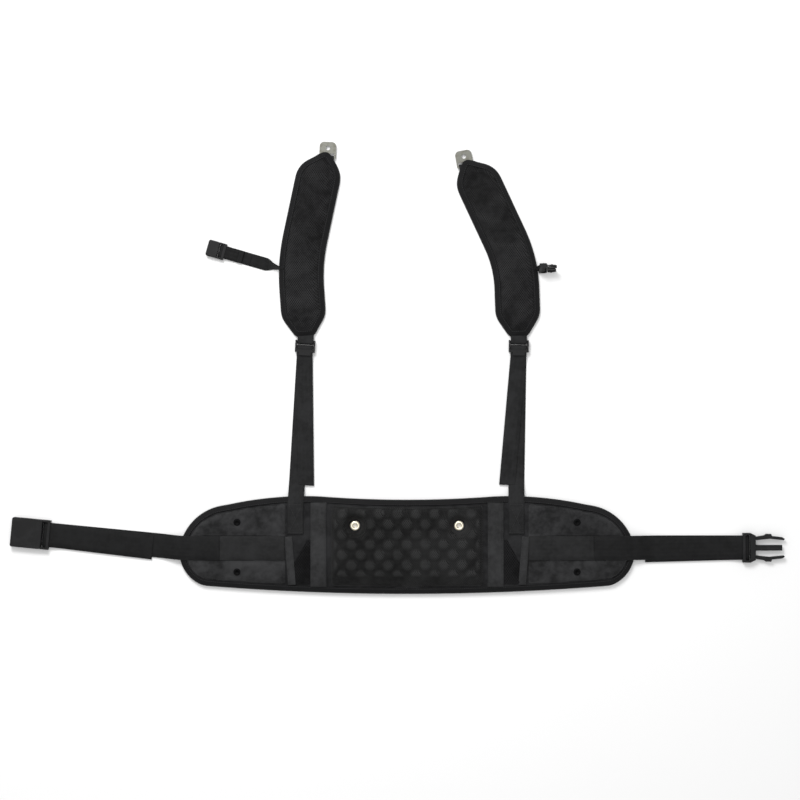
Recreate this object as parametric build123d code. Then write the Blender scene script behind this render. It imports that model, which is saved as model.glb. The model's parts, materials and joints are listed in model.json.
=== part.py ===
"""Padded harness for a pack frame, laid flat: a hip belt and two shoulder straps.

The hip belt is a stack of lining, stiffener, foam and shell with taped edges. A lumbar pad with
raised pods and two frame grommets is in its middle, and a wing on each side folds round the hips.
A 38 mm waist strap leaves each wing and doubles back through one half of a side-release buckle.
Each shoulder strap is a curved pad with a steel frame tab at its top, a sternum strap at its side
and a ladder lock at its foot, which rides on a 25 mm webbing sewn to the belt.

Frame: X across the belt, Y from the belt towards the shoulder straps, Z up from the surface.
The origin is midway between the two frame grommets, on the surface the harness lies on.
Millimetres. Straps and folds that move are cut at their joint and kept a small gap apart.
"""

import os
from dataclasses import dataclass
from math import atan2, cos, degrees, hypot, radians, sin

from build123d import *

os.makedirs("parts", exist_ok=True)

# ---------------------------------------------------------------- fits
fold_gap = 0.3  # between two bodies at a fold, a pivot or a sliding joint
lay = 0.1  # air between a lying webbing and the surface, or what it lies on
pin_play = 0.1  # between a bar and the webbing round it

# ---------------------------------------------------------------- hip belt outline
belt_half_length = 357.0
tip_y = -36.0  # height of the belt's tip
waist_y = 40.5  # top edge at the middle
peak_x, peak_y = 140.0, 46.0  # top edge at its highest
brow_x, brow_y = belt_half_length - 74.0, 32.5  # where the top edge turns down to the tip
heel_x, heel_y = belt_half_length - 37.0, -94.0  # where the tip turns into the bottom edge
sole_y = -107.0  # bottom edge at the middle
top_bulge, brow_bulge, heel_bulge = 4.57, 17.45, 11.56  # of the edge off its chords

# ---------------------------------------------------------------- hip belt layers
lining = 1.0
stiffener = 1.2
foam = 10.0  # lining's top to shell's underside
shell = 1.0
tape = 0.8  # edge binding
tape_width = 9.0  # how far the binding reaches in over the shell
panel_height = 2.0  # thin quilted panel on the wings
panel_inset = 1.5  # from the fold to its inner edge
panel_margin = 2.0  # between a panel and the binding
panel_top = lining + foam + shell + panel_height
belt_top = lining + foam + shell

# ---------------------------------------------------------------- lumbar pad
lumbar_half_width = 119.0
lumbar_height = 4.0
pod_pitch_x, pod_pitch_y = 28.8, 30.0  # of one of the two interleaved grids of pods
pod_radius, pod_height = 8.0, 1.5
pod_taper = 35.0
pod_low_y, pod_high_y = -72.0, 24.0
lumbar_chamfer = 1.5

# ---------------------------------------------------------------- grommets and eyelets
grommet_spacing = 163.0
grommet_bore = 3.6
grommet_barrel = 0.8
grommet_flange, grommet_rim = 8.0, 1.2
grommet_seat_z = 5.0  # foam is pressed down to here under the flange
grommet_well = grommet_flange + 2.0  # radius of the well round the flange
grommet_mouth = grommet_well + 6.0  # radius of the well at the pad's surface
eyelet_bore, eyelet_flange, eyelet_rim = 2.5, 5.6, 1.0

# ---------------------------------------------------------------- webbings
webbing = 1.6  # thickness of the 38 mm and 25 mm webbings
waist_width, shoulder_width, sternum_width = 38.0, 25.0, 20.0
side_webbing_width, lumbar_gap = 25.0, 7.0  # the upright webbings, and how far they clear the pad
side_webbing_x = lumbar_half_width + lumbar_gap + side_webbing_width / 2
band_y = tip_y + 1.5  # the waist strap's line along the wing
band_inset = 0.6  # from the fold to the band's inner end
strap_root_x = belt_half_length - 2.0  # the waist strap's fold, at the wing's tip
eyelet_x, eyelet_y = belt_half_length - 91.5, (band_y + 40.5, band_y - 37.0)
root_run, waist_drop = 4.0, 12.0  # level stretches at the root and over the drop beside it
tail_drop = 18.0  # level length in which a tail comes down onto its strap
loop_leg = 12.0  # from a bar back to where its loop folds against the strap

# ---------------------------------------------------------------- shoulder pads
pad_length, pad_width = 293.0, 69.0
pad_foot_straight, pad_bend_length = 75.0, 80.0
pad_foot_width, pad_foot_rise = shoulder_width + 3.0, 32.0
pad_tip_rise, pad_tip_over = 28.7, 3.5  # the tip's side corners, and its corner before rounding
pad_tip_shift = 6.0  # of the tip, towards the pad's inner side
pad_foot_round, pad_side_round, pad_shoulder_round, pad_tip_round = 4.0, 30.0, 36.0, 9.5
pad_lining, pad_foam, pad_shell = 1.0, 9.5, 1.0
pad_top = pad_lining + pad_foam + pad_shell
loop_width = 20.0  # webbing loop that holds the frame tab


lip_air = 0.4  # between a tail and the lip above it
rail_drop = 1.2  # from the top of a moulding down to its rails


@dataclass
class Hardware:
    """Sizes of a moulded buckle or lock for one webbing."""

    strap: float  # webbing width
    thick: float  # webbing thickness
    bar: float  # radius of the bar the webbing turns round
    rail: float  # width of each side rail
    lip: float  # thickness of the toothed lip above the webbing
    wall: float  # wall of a socket

    @property
    def inner(self):
        return self.bar + pin_play

    @property
    def outer(self):
        return self.inner + self.thick

    @property
    def bar_z(self):
        return lay + self.outer

    @property
    def lip_z(self):
        return 2 * self.outer + lay + lip_air

    @property
    def height(self):
        return self.lip_z + self.lip + rail_drop

    @property
    def half(self):
        return self.strap / 2 + 0.8 + self.rail


waist_hardware = Hardware(waist_width, webbing, 1.8, 3.2, 2.3, 1.8)
shoulder_hardware = Hardware(shoulder_width, webbing, 1.8, 2.2, 0.7, 1.8)
sternum_hardware = Hardware(sternum_width, 1.4, 1.3, 2.0, 0.7, 1.2)
bar_pitch = 2 * shoulder_hardware.outer + 1.2  # between a ladder lock's two bars
pad_foot_offset = shoulder_hardware.outer + 5.5  # from its far bar up to the pad's foot


@dataclass
class WaistStrap:
    """One waist strap, measured from its fold outwards."""

    tilt: float  # degrees that the strap lies above the X axis
    bar_u: float  # the buckle's bar
    tail_end_u: float  # free end of the doubled-back tail
    tail_drift: float  # degrees that the tail lies off the strap


@dataclass
class ShoulderStrap:
    """One shoulder strap, as for the wearer's strap on the +X side."""

    beside: float  # from the upright webbing to this one, sewn on the belt
    lock_shift: float  # how much further out the ladder lock's bar is
    lock_rise: float  # from the webbing's fold up to that bar
    tail_end_u: float  # free end of the doubled-back tail
    tail_drift: float  # degrees that the tail lies off the webbing
    pad_lean: float  # degrees that the pad's foot leans inwards
    pad_bend: float  # degrees that the pad curves inwards above it
    tab_turn: float  # degrees that the frame tab is turned outwards from the pad's line
    sternum_s: float  # where the sternum strap leaves the pad, up its centreline
    sternum_aim: float  # degrees above the X axis

    @property
    def belt_x(self):
        return side_webbing_x + (side_webbing_width + shoulder_width) / 2 + self.beside


waist_straps = {"left": WaistStrap(5.5, 214.0, 44.0, 1.3), "right": WaistStrap(0.0, 179.0, 19.0, 1.6)}
shoulder_straps = {
    "left": ShoulderStrap(11.0, -14.7, 244.5, 29.1, -4.2, -4.0, 16.0, -9.0, 106.0, 16.0),
    "right": ShoulderStrap(7.5, 4.1, 244.5, 28.7, -4.2, 2.0, 23.0, -15.0, 100.0, 1.0),
}
sewn_high_y = peak_y - 11.0  # the shoulder webbing's sewn stretch
sewn_low_y = sewn_high_y - 48.0
shoulder_fold_y = sewn_high_y + fold_gap
shoulder_drop = 12.0  # level length in which a shoulder webbing comes down from the belt
fold_x = max(s.belt_x for s in shoulder_straps.values()) + shoulder_width / 2 + 2.0  # the wings' folds
stiffener_half_width, stiffener_height = fold_x - 39.0, 90.0

# ================================================================ helpers


def slab(face, low, high):
    """A flat face made solid between two heights."""
    return extrude(Pos(0, 0, low) * face, amount=high - low, dir=(0, 0, 1))


def ribbon(points, width, thickness):
    """A webbing as wide as width whose underside follows points (along, height)."""
    upper = [(u, z + thickness) for u, z in reversed(points)]
    profile = make_face(Polyline(*points, *upper, close=True))
    return extrude(Plane.XZ * profile, amount=width / 2, both=True)


def round_bar(along, height, radius, length):
    """A bar across the strap, centred on it."""
    return Pos(along, 0, height) * Rot(90, 0, 0) * Cylinder(radius, length)


def block(u0, u1, v0, v1, z0, z1):
    """A box by its limits along the strap, across it and upwards."""
    return Pos((u0 + u1) / 2, (v0 + v1) / 2, (z0 + z1) / 2) * Box(u1 - u0, v1 - v0, z1 - z0)


def joined(first, *others):
    """One solid from pieces that touch or overlap."""
    for other in others:
        first = first + other
    return first


def both_sides(solid):
    """A solid and its mirror image in the YZ plane."""
    return [solid, mirror(solid, about=Plane.YZ)]


def save(name, *solids):
    """Writes one node."""
    found = [s for piece in solids for s in piece.solids()]
    export_step(found[0] if len(found) == 1 else Compound(found), f"parts/{name}.step")


def for_side(side, solid):
    """The +X version of a piece, mirrored for the left side."""
    return mirror(solid, about=Plane.YZ) if side == "left" else solid


# ================================================================ hip belt


def bowed(start, end, bulge):
    """An arc from start to end that stands bulge off its chord, to the left of it."""
    run_x, run_y = end[0] - start[0], end[1] - start[1]
    share = bulge / hypot(run_x, run_y)
    middle = (start[0] + end[0]) / 2 - run_y * share, (start[1] + end[1]) / 2 + run_x * share
    return ThreePointArc(start, middle, end)


def belt_outline():
    """The belt's edge: a hollow top, two round tips and a gently bowed bottom."""
    peak, brow, tip, heel = (peak_x, peak_y), (brow_x, brow_y), (belt_half_length, tip_y), (heel_x, heel_y)
    top = ThreePointArc((-peak_x, peak_y), (0, waist_y), peak)
    sole = ThreePointArc(heel, (0, sole_y), (-heel_x, heel_y))
    end = Curve() + [bowed(peak, brow, top_bulge), bowed(brow, tip, brow_bulge), bowed(tip, heel, heel_bulge)]
    return make_face(Curve() + [top, *end.edges(), sole, *mirror(end, about=Plane.YZ).edges()])


outline = belt_outline()
covered = offset(outline, amount=-(tape + 0.2))  # what the binding wraps
inside_tape = offset(outline, amount=-tape_width)
panel_area = offset(outline, amount=-(tape_width + panel_margin))

reach = 1000.0  # longer than anything here
centre_zone = block(-fold_x + fold_gap / 2, fold_x - fold_gap / 2, -reach, reach, -reach, reach)
wing_zone = block(fold_x + fold_gap / 2, reach, -reach, reach, -reach, reach)
wells = [Pos(x, 0) for x in (-grommet_spacing / 2, grommet_spacing / 2)]


def binding():
    """Tape round the whole edge, turned in over the shell."""
    wall = slab(outline, 0.2, belt_top + tape) - slab(offset(outline, amount=-tape), 0, reach)
    flange = slab(offset(outline, amount=-tape / 2) - inside_tape, belt_top, belt_top + tape)
    return wall + flange


def belt_layers():
    """The lining, foam, shell and binding of the whole belt, not yet cut at the folds."""
    return {
        "lining": slab(covered, 0, lining),
        "foam": slab(covered, lining, lining + foam),
        "shell": slab(covered, lining + foam, belt_top),
        "binding": binding(),
    }


def well(low, high, radius):
    """Clearance round both grommets between two heights."""
    return [place * slab(Circle(radius), low, high) for place in wells]


def grommet_parts():
    """The flanged eyelets and the washers they are clenched over."""
    barrel = grommet_bore + grommet_barrel
    top = grommet_seat_z + grommet_rim
    eyelet = slab(Circle(barrel), 0, top) + slab(Circle(grommet_flange), grommet_seat_z, top)
    eyelet = fillet(eyelet.edges().group_by(Axis.Z)[-1], 0.5 * grommet_rim)
    eyelet = eyelet - slab(Circle(grommet_bore), -1, top + 1)
    washer = slab(Circle(grommet_flange) - Circle(barrel + 0.05), 0, lining)
    return [place * eyelet for place in wells], [place * washer for place in wells]


def pods():
    """Raised pods on two interleaved grids, left out round the grommets."""
    pod = extrude(Circle(pod_radius), amount=pod_height, taper=pod_taper)
    top = belt_top + lumbar_height
    found = []
    row_pitch = pod_pitch_y / 2
    rows = int((pod_high_y - pod_low_y) / row_pitch) + 1
    columns = int(lumbar_half_width / pod_pitch_x) + 1
    clear = grommet_mouth + pod_radius
    for row in range(rows):
        y = pod_low_y + row * row_pitch
        shift = pod_pitch_x / 2 if row % 2 else 0
        for column in range(-columns, columns + 1):
            x = column * pod_pitch_x + shift
            near = hypot(abs(x) - grommet_spacing / 2, y) < clear
            if abs(x) < lumbar_half_width - pod_radius - 2 and not near:
                found.append(Pos(x, y, top) * pod)
    return found


def lumbar_pad():
    """The mesh pad in the middle of the belt, with a funnel down to each grommet."""
    area = panel_area & Rectangle(2 * lumbar_half_width, reach)
    pad = slab(area, belt_top, belt_top + lumbar_height)
    pad = chamfer(pad.faces().sort_by(Axis.Z)[-1].edges(), lumbar_chamfer)
    pad = pad + pods()
    funnel = loft(
        [
            Pos(0, 0, belt_top) * Circle(grommet_well),
            Pos(0, 0, belt_top + lumbar_height) * Circle(grommet_mouth),
        ]
    )
    return pad - [place * funnel for place in wells]


def make_belt():
    """The middle of the belt, between the folds."""
    layers = {name: solid & centre_zone for name, solid in belt_layers().items()}
    support = Pos(0, (waist_y + sole_y) / 2) * RectangleRounded(
        2 * stiffener_half_width, stiffener_height, 12
    )
    board = slab(support, lining, lining + stiffener)
    barrel = grommet_bore + grommet_barrel + 0.05
    save("belt_lining", layers["lining"] - well(-1, lining + 1, grommet_flange + 0.2))
    save("belt_stiffener", board - well(0, belt_top, barrel))
    opened = layers["foam"] - board - well(0, belt_top, barrel)
    save("belt_foam", opened - well(grommet_seat_z, belt_top, grommet_well))
    save("belt_shell", layers["shell"] - well(lining + foam - 1, belt_top + 1, grommet_well))
    save("belt_binding", layers["binding"])
    save("lumbar_pad", lumbar_pad())
    eyelets, washers = grommet_parts()
    save("frame_grommets", *eyelets)
    save("grommet_washers", *washers)
    strip_face = panel_area & (Pos(side_webbing_x, 0) * Rectangle(side_webbing_width, reach))
    save("side_webbings", *both_sides(slab(strip_face, belt_top, belt_top + webbing)))
    save("shoulder_webbing_ends", *[shoulder_end(side) for side in shoulder_straps])


def shoulder_end(side):
    """The stretch of a shoulder webbing that is sewn down on the belt."""
    x = shoulder_straps[side].belt_x
    half = shoulder_width / 2
    end = block(x - half, x + half, sewn_low_y, sewn_high_y, belt_top, belt_top + webbing)
    return for_side(side, end)


def wing_eyelets():
    """Black vent eyelets above and below the waist strap's band."""
    top = panel_top + eyelet_rim
    ring = slab(Circle(eyelet_flange), panel_top, top)
    ring = fillet(ring.edges().group_by(Axis.Z)[-1], 0.6 * eyelet_rim)
    ring = ring + slab(Circle(eyelet_bore + 0.5), belt_top, top)
    ring = ring - slab(Circle(eyelet_bore), belt_top - 1, top + 1)
    return [Pos(eyelet_x, y) * ring for y in eyelet_y]


def make_wings():
    """The two folding wings, the left one a mirror image."""
    layers = {name: solid & wing_zone for name, solid in belt_layers().items()}
    panel = slab(panel_area, belt_top, panel_top)
    panel = panel & block(fold_x + panel_inset, reach, -reach, reach, belt_top, panel_top)
    socket = slab(Circle(eyelet_bore + 0.5), belt_top - 1, panel_top + 1)
    panel = panel - [Pos(eyelet_x, y) * socket for y in eyelet_y]
    half = waist_width / 2
    start, end = fold_x + panel_inset + band_inset, strap_root_x - fold_gap / 2
    band = block(start, end, band_y - half, band_y + half, panel_top, panel_top + webbing)
    for side in ("left", "right"):
        for name, solid in layers.items():
            save(f"wing_{name}_{side}", for_side(side, solid))
        save(f"wing_panel_{side}", for_side(side, panel))
        save(f"wing_band_{side}", for_side(side, band))
        save(f"wing_eyelets_{side}", *[for_side(side, ring) for ring in wing_eyelets()])


# ================================================================ adjusters and buckles


lip_reach, lip_length = 4.5, 4.0  # how far the lip starts before the webbing's turn, and its length
rail_low = 0.3  # a moulding's underside above the surface


def adjuster(size, bar_u, end_u):
    """Two side rails from the strap's side to end_u, the bar that the webbing turns round,
    and a toothed lip above the tail."""
    start = bar_u - size.outer - lip_reach
    top = size.height - rail_drop
    rails = [
        block(start, end_u, v - size.rail / 2, v + size.rail / 2, rail_low, top)
        for v in (size.half - size.rail / 2, -size.half + size.rail / 2)
    ]
    bar = round_bar(bar_u, size.bar_z, size.bar, 2 * size.half - size.rail)
    lip = block(start, start + lip_length, -size.half + 1, size.half - 1, size.lip_z, top)
    return joined(rails[0], bar, lip, rails[1])


def loop_heights(size):
    """Undersides of a doubled webbing: below the bar, above the bar, and lying on itself."""
    return lay, lay + 2 * size.outer - size.thick, 2 * lay + size.thick


def loop_fold(size, bar_u):
    """Where a loop folds against its strap, and the height of the upper layer there."""
    low, high, rest = loop_heights(size)
    level = loop_leg - 4.0
    return bar_u - loop_leg, high - (high - rest) * (loop_leg - level) / tail_drop


def bar_loop(size, bar_u):
    """Webbing that comes in below the bar, turns round it and goes back above."""
    low, high, rest = loop_heights(size)
    fold_u, fold_height = loop_fold(size, bar_u)
    start, level_u = fold_u + fold_gap / 2, fold_u + 4.0
    turn = round_bar(bar_u, size.bar_z, size.outer, size.strap)
    turn = turn - round_bar(bar_u, size.bar_z, size.inner, size.strap + 1)
    turn = turn & block(bar_u, bar_u + size.outer + 1, -reach, reach, -1, 2 * size.outer + 2)
    lower = ribbon([(start, low), (bar_u, low)], size.strap, size.thick)
    upper = ribbon([(start, fold_height), (level_u, high), (bar_u, high)], size.strap, size.thick)
    return joined(turn, lower, upper)


def free_tail(size, bar_u, end_u, drift):
    """The rest of a doubled webbing, lying on its strap and drift degrees to one side."""
    low, high, rest = loop_heights(size)
    fold_u, fold_height = loop_fold(size, bar_u)
    down = fold_u + 4.0 - tail_drop
    slope = (high - rest) / tail_drop
    line = [(end_u, rest), (down, rest), (fold_u + 2, fold_height + 2 * slope)]
    swing = Pos(fold_u, 0, 0) * Rot(0, 0, drift) * Pos(-fold_u, 0, 0)
    keep = block(-reach, fold_u - fold_gap / 2, -reach, reach, -reach, reach)
    return (swing * ribbon(line, size.strap, size.thick)) & keep


turn_air = 0.5  # between a webbing's turn round its bar and the moulding past it


def socket_body(size, bar_u, length):
    """Female half: an adjuster and a flat hollow housing with a window in each side."""
    start = bar_u + size.outer + turn_air
    end = start + length
    shell_face = Pos((start + end) / 2, 0) * RectangleRounded(length, 2 * size.half, 3.0)
    body = slab(shell_face, 0.2, size.height + 0.2)
    body = chamfer(body.edges().group_by(Axis.Z)[-1] + body.edges().group_by(Axis.Z)[0], 0.9)
    cavity_half = size.half - size.wall
    low, high = 0.2 + size.wall, size.height + 0.2 - size.wall
    cavity = block(start + 2.5, end + 1, -cavity_half, cavity_half, low, high)
    window = block(
        start + 0.36 * length, start + 0.72 * length, -reach, reach, low + 0.3, high - 0.3
    )
    return joined(adjuster(size, bar_u, start + 1.0), body) - cavity - window


def plug_body(size, bar_u, prong):
    """Male half without its spring arms: an adjuster, a shoulder plate and a centre prong."""
    start = bar_u + size.outer + turn_air
    neck = start + 0.15 * prong
    mid = size.height / 2 + 0.2
    half_thick = 0.29 * size.height
    plate_face = make_face(
        Polyline(
            (start, -size.half),
            (start, size.half),
            (neck, 0.83 * size.half),
            (neck, -0.83 * size.half),
            close=True,
        )
    )
    plate = slab(plate_face, mid - half_thick, mid + half_thick)
    guide = block(
        neck - 0.5, start + 0.92 * prong, -0.19 * size.half, 0.19 * size.half, mid - 1.9, mid + 1.9
    )
    return joined(adjuster(size, bar_u, start + 0.5), plate, guide), neck


def spring_arm(size, neck, prong):
    """One spring arm of the male half: a root, a finger button and a sloped latch tip."""
    half, root = size.half, neck + 0.6
    mid = size.height / 2 + 0.2
    outline_points = [
        (root, 0.52 * half),
        (root, 0.76 * half),
        (root + 0.24 * prong, 0.85 * half),
        (root + 0.28 * prong, 0.94 * half),
        (root + 0.44 * prong, 0.94 * half),
        (root + 0.46 * prong, 0.80 * half),
        (root + 0.76 * prong, 0.72 * half),
        (root + 0.84 * prong, 0.60 * half),
        (root + 0.80 * prong, 0.52 * half),
        (root + 0.40 * prong, 0.62 * half),
    ]
    return slab(make_face(Polyline(*outline_points, close=True)), mid - 2.4, mid + 2.4)


waist_socket_length, waist_prong = 48.0, 54.0
sternum_socket_length, sternum_prong = 18.0, 16.0

# ================================================================ waist straps


def waist_place(side):
    """Puts a strap drawn along +X from the origin at the wing's tip."""
    return Pos(strap_root_x, band_y, 0) * Rot(0, 0, waist_straps[side].tilt)


def make_waist(side):
    """A waist strap, its tail, and its half of the buckle."""
    strap, size, place = waist_straps[side], waist_hardware, waist_place(side)
    end = strap.bar_u - loop_leg - fold_gap / 2
    run = [(-6, panel_top), (root_run, panel_top), (root_run + waist_drop, lay), (end, lay)]
    keep = block(strap_root_x + fold_gap / 2, reach, -reach, reach, -reach, reach)
    run = (place * ribbon(run, size.strap, size.thick)) & keep
    tail = place * free_tail(size, strap.bar_u, strap.tail_end_u, strap.tail_drift)
    save(f"waist_strap_{side}", for_side(side, run), for_side(side, tail))
    save(f"waist_loop_{side}", for_side(side, place * bar_loop(size, strap.bar_u)))
    if side == "left":
        body = socket_body(size, strap.bar_u, waist_socket_length)
        save("waist_buckle_socket", for_side(side, place * body))
        return
    body, neck = plug_body(size, strap.bar_u, waist_prong)
    save("waist_buckle_plug", for_side(side, place * body))
    arm = spring_arm(size, neck, waist_prong)
    save("waist_buckle_arm_upper", for_side(side, place * arm))
    save("waist_buckle_arm_lower", for_side(side, place * mirror(arm, about=Plane.XZ)))


# ================================================================ shoulder straps


def strap_angle(side):
    """Degrees from +X of a shoulder webbing's line, from the belt to its ladder lock."""
    strap = shoulder_straps[side]
    return degrees(atan2(strap.lock_rise, strap.lock_shift))


def strap_place(side):
    """Puts a strap drawn along +X from the origin at its fold on the belt."""
    return Pos(shoulder_straps[side].belt_x, shoulder_fold_y, 0) * Rot(0, 0, strap_angle(side))


def bar_u(side):
    """Distance from a shoulder webbing's fold to its ladder lock's webbing bar."""
    strap = shoulder_straps[side]
    return hypot(strap.lock_rise, strap.lock_shift)


lock_tab, lock_tab_inset = 5.0, 6.0  # a lifting tab's length, and how much narrower it is each side
lock_end = 2.6  # a ladder lock's rails past its far bar


def ladder_lock(size, bar):
    """An adjuster with a second bar, which the pad's lower loop holds, and a lifting tab."""
    far = bar + bar_pitch
    frame = adjuster(size, bar, far + lock_end)
    start = bar - size.outer - lip_reach
    top = size.height - rail_drop
    half = size.half - lock_tab_inset
    tab = block(start - lock_tab, start + 0.5, -half, half, top - 0.6, top + 0.6)
    return joined(frame, round_bar(far, size.bar_z, size.bar, 2 * size.half - size.rail), tab)


def pad_line(s, bend):
    """Centreline of a pad drawn up +Y from its foot: (x, y, heading in degrees, 90 = up)."""
    bend_radius = pad_bend_length / radians(bend)
    turned = min(max(s - pad_foot_straight, 0), pad_bend_length)
    angle = radians(bend) * turned / pad_bend_length
    x = -bend_radius * (1 - cos(angle))
    y = min(s, pad_foot_straight) + bend_radius * sin(angle)
    after = max(s - pad_foot_straight - pad_bend_length, 0)
    return x - after * sin(angle), y + after * cos(angle), 90 + degrees(angle)


def pad_point(s, across, bend):
    """A point beside the pad's centreline, across being positive to its outer (+X) side."""
    x, y, heading = pad_line(s, bend)
    side = radians(heading - 90)
    return x + across * cos(side), y + across * sin(side)


def pad_side(sign, bend):
    """Corners of one side of a pad, from its foot to its tip, with the radius of each."""
    half, bend_radius = pad_width / 2, pad_bend_length / radians(bend)
    side_radius = bend_radius + sign * half
    to_corner = side_radius * sin(radians(bend) / 2) / cos(radians(bend) / 2)
    x, y = pad_point(pad_foot_straight, sign * half, bend)
    return [
        (pad_point(0, sign * pad_foot_width / 2, bend), pad_foot_round),
        (pad_point(pad_foot_rise, sign * half, bend), pad_side_round),
        ((x, y + to_corner), side_radius),
        (pad_point(pad_length - pad_tip_rise, sign * half, bend), pad_shoulder_round),
    ]


def pad_outline(bend):
    """The pad's edge: a narrow foot, parallel curved sides and a pointed round tip."""
    tip = [(pad_point(pad_length + pad_tip_over, -pad_tip_shift, bend), pad_tip_round)]
    corners = pad_side(1, bend) + tip + pad_side(-1, bend)[::-1]
    points, rounds = [corner[0] for corner in corners], [corner[1] for corner in corners]
    return make_face(FilletPolyline(*points, radius=rounds, close=True))


def pad_place(side):
    """Puts a pad drawn up +Y from the origin so that its foot meets the ladder lock's far bar."""
    strap, turn = shoulder_straps[side], radians(strap_angle(side))
    far = bar_u(side) + bar_pitch
    x = strap.belt_x + far * cos(turn)
    y = shoulder_fold_y + far * sin(turn)
    return Pos(x, y, 0) * Rot(0, 0, strap.pad_lean) * Pos(0, pad_foot_offset, 0)


def sewn_loop(size, reach_back, width):
    """A webbing loop round a bar at the origin whose two legs run reach_back along +X."""
    turn = Curve() + [
        Polyline((0, -size.inner), (reach_back, -size.inner), (reach_back, -size.outer), (0, -size.outer)),
        ThreePointArc((0, -size.outer), (-size.outer, 0), (0, size.outer)),
        Polyline((0, size.outer), (reach_back, size.outer), (reach_back, size.inner), (0, size.inner)),
        ThreePointArc((0, size.inner), (-size.inner, 0), (0, -size.inner)),
    ]
    return extrude(Plane.XZ * make_face(turn), amount=width / 2, both=True)


tab_bar_depth, tab_shift = 8.0, 8.0  # from the pad's tip to the tab's bar: down, and inwards
tab_bar, tab_slot, tab_plate = 2.8, 5.4, 18.0
tab_width, tab_thick, tab_bore, tab_bore_s = 26.0, 2.0, 3.6, 9.5
tab_crown = 7.0  # radius of its outer corners
tab_hardware = Hardware(loop_width, 1.4, 1.9, 2.0, 0.0, 1.0)
pocket_leg, pocket_side, pocket_air = 8.0, 0.8, 0.5  # round the tab, under the pad's tip


def frame_tab():
    """Stamped steel tab, drawn up +Y from its bar: a slot for the loop and a hole for a pin."""
    low, high = -tab_bar / 2, tab_bar / 2 + tab_slot + tab_plate
    middle = (low + high) / 2
    plate = Pos(0, middle) * Rectangle(tab_width, high - low)
    plate = fillet(plate.vertices().group_by(Axis.Y)[-1], tab_crown)
    plate = fillet(plate.vertices().group_by(Axis.Y)[0], tab_bar / 2 - 0.1)
    slot = Pos(0, tab_bar / 2 + tab_slot / 2) * RectangleRounded(loop_width + 1.6, tab_slot, 1.2)
    hole = Pos(0, high - tab_bore_s) * Circle(tab_bore)
    z = tab_hardware.bar_z
    return slab(plate - slot - hole, z - tab_thick / 2, z + tab_thick / 2)


def tab_place(strap):
    """A frame at the tab's bar, under the pad's tip, with +Y running out along the tab."""
    s = pad_length - tab_bar_depth
    heading = pad_line(s, strap.pad_bend)[2]
    x, y = pad_point(s, -tab_shift, strap.pad_bend)
    return Pos(x, y, 0) * Rot(0, 0, heading - 90 + strap.tab_turn)


def tab_pocket(strap):
    """The space under the pad's tip that the tab and its loop lie in."""
    half = tab_width / 2 + pocket_side
    top = 2 * tab_hardware.outer + lay + pocket_air
    return tab_place(strap) * block(-half, half, -pocket_leg, tab_bar_depth + 20, -1, top)


def make_pad(side, place):
    """The pad's layers, and the two webbing loops at its ends."""
    strap = shoulder_straps[side]
    edge, pocket = pad_outline(strap.pad_bend), tab_pocket(strap)
    wrapped = offset(edge, amount=-(tape + 0.2))
    wall = slab(edge, 0.2, pad_top + tape) - slab(offset(edge, amount=-tape), 0, reach)
    ring = offset(edge, amount=-tape / 2) - offset(edge, amount=-tape_width)
    layers = {
        "lining": slab(wrapped, 0, pad_lining),
        "foam": slab(wrapped, pad_lining, pad_lining + pad_foam),
        "shell": slab(wrapped, pad_lining + pad_foam, pad_top),
        "binding": wall + slab(ring, pad_top, pad_top + tape),
    }
    for name, solid in layers.items():
        save(f"pad_{name}_{side}", for_side(side, place * (solid - pocket)))
    size = shoulder_hardware
    lower = strap_place(side) * Pos(bar_u(side) + bar_pitch, 0, size.bar_z)
    lower = lower * sewn_loop(size, pad_foot_offset + 6, size.strap)
    lower = lower & (place * block(-reach, reach, -reach, 0, -reach, reach))
    save(f"pad_lower_loop_{side}", for_side(side, lower))
    size = tab_hardware
    upper = tab_place(strap) * Pos(0, 0, size.bar_z) * Rot(0, 0, -90)
    save(f"pad_upper_loop_{side}", for_side(side, place * upper * sewn_loop(size, pocket_leg, loop_width)))
    save(f"frame_tab_{side}", for_side(side, place * tab_place(strap) * frame_tab()))


sternum_turned = 72.0  # degrees that the short stub and its plug lie turned on edge
sternum_bar_u = {"left": 96.0, "right": 10.0}
sternum_root_z, sternum_drop = 5.0, 12.0
sternum_clearance = 0.3  # of the turned plug above the surface


def sternum_place(side):
    """A frame at the pad's outer edge with +X running squarely away from the pad."""
    strap = shoulder_straps[side]
    x, y = pad_point(strap.sternum_s, pad_width / 2, strap.pad_bend)
    return Pos(x, y, 0) * Rot(0, 0, pad_line(strap.sternum_s, strap.pad_bend)[2] - 90)


def sternum_line(side, place):
    """A frame at the pad's edge with +X running along the sternum strap."""
    edge = place * sternum_place(side)
    return edge * Rot(0, 0, shoulder_straps[side].sternum_aim - edge.orientation.Z)


def on_edge():
    """Turns a buckle half, drawn flat, onto one rail, just clear of the surface."""
    size, turned = sternum_hardware, radians(sternum_turned)
    middle = size.half * sin(turned) + size.height / 2 * cos(turned) + sternum_clearance
    return Pos(0, 0, middle) * Rot(sternum_turned, 0, 0) * Pos(0, 0, -size.height / 2)


def make_sternum_long(place):
    """The left sternum strap with its socket."""
    size, bar, at = sternum_hardware, sternum_bar_u["left"], sternum_line("left", place)
    keep = place * sternum_place("left") * block(fold_gap, reach, -reach, reach, -reach, reach)
    end = bar - loop_leg - fold_gap / 2
    run = [(-6, sternum_root_z), (root_run, sternum_root_z), (root_run + sternum_drop, lay), (end, lay)]
    save("sternum_strap_left", for_side("left", (at * ribbon(run, size.strap, size.thick)) & keep))
    save("sternum_loop_left", for_side("left", at * bar_loop(size, bar)))
    save("sternum_socket", for_side("left", at * socket_body(size, bar, sternum_socket_length)))


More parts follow.
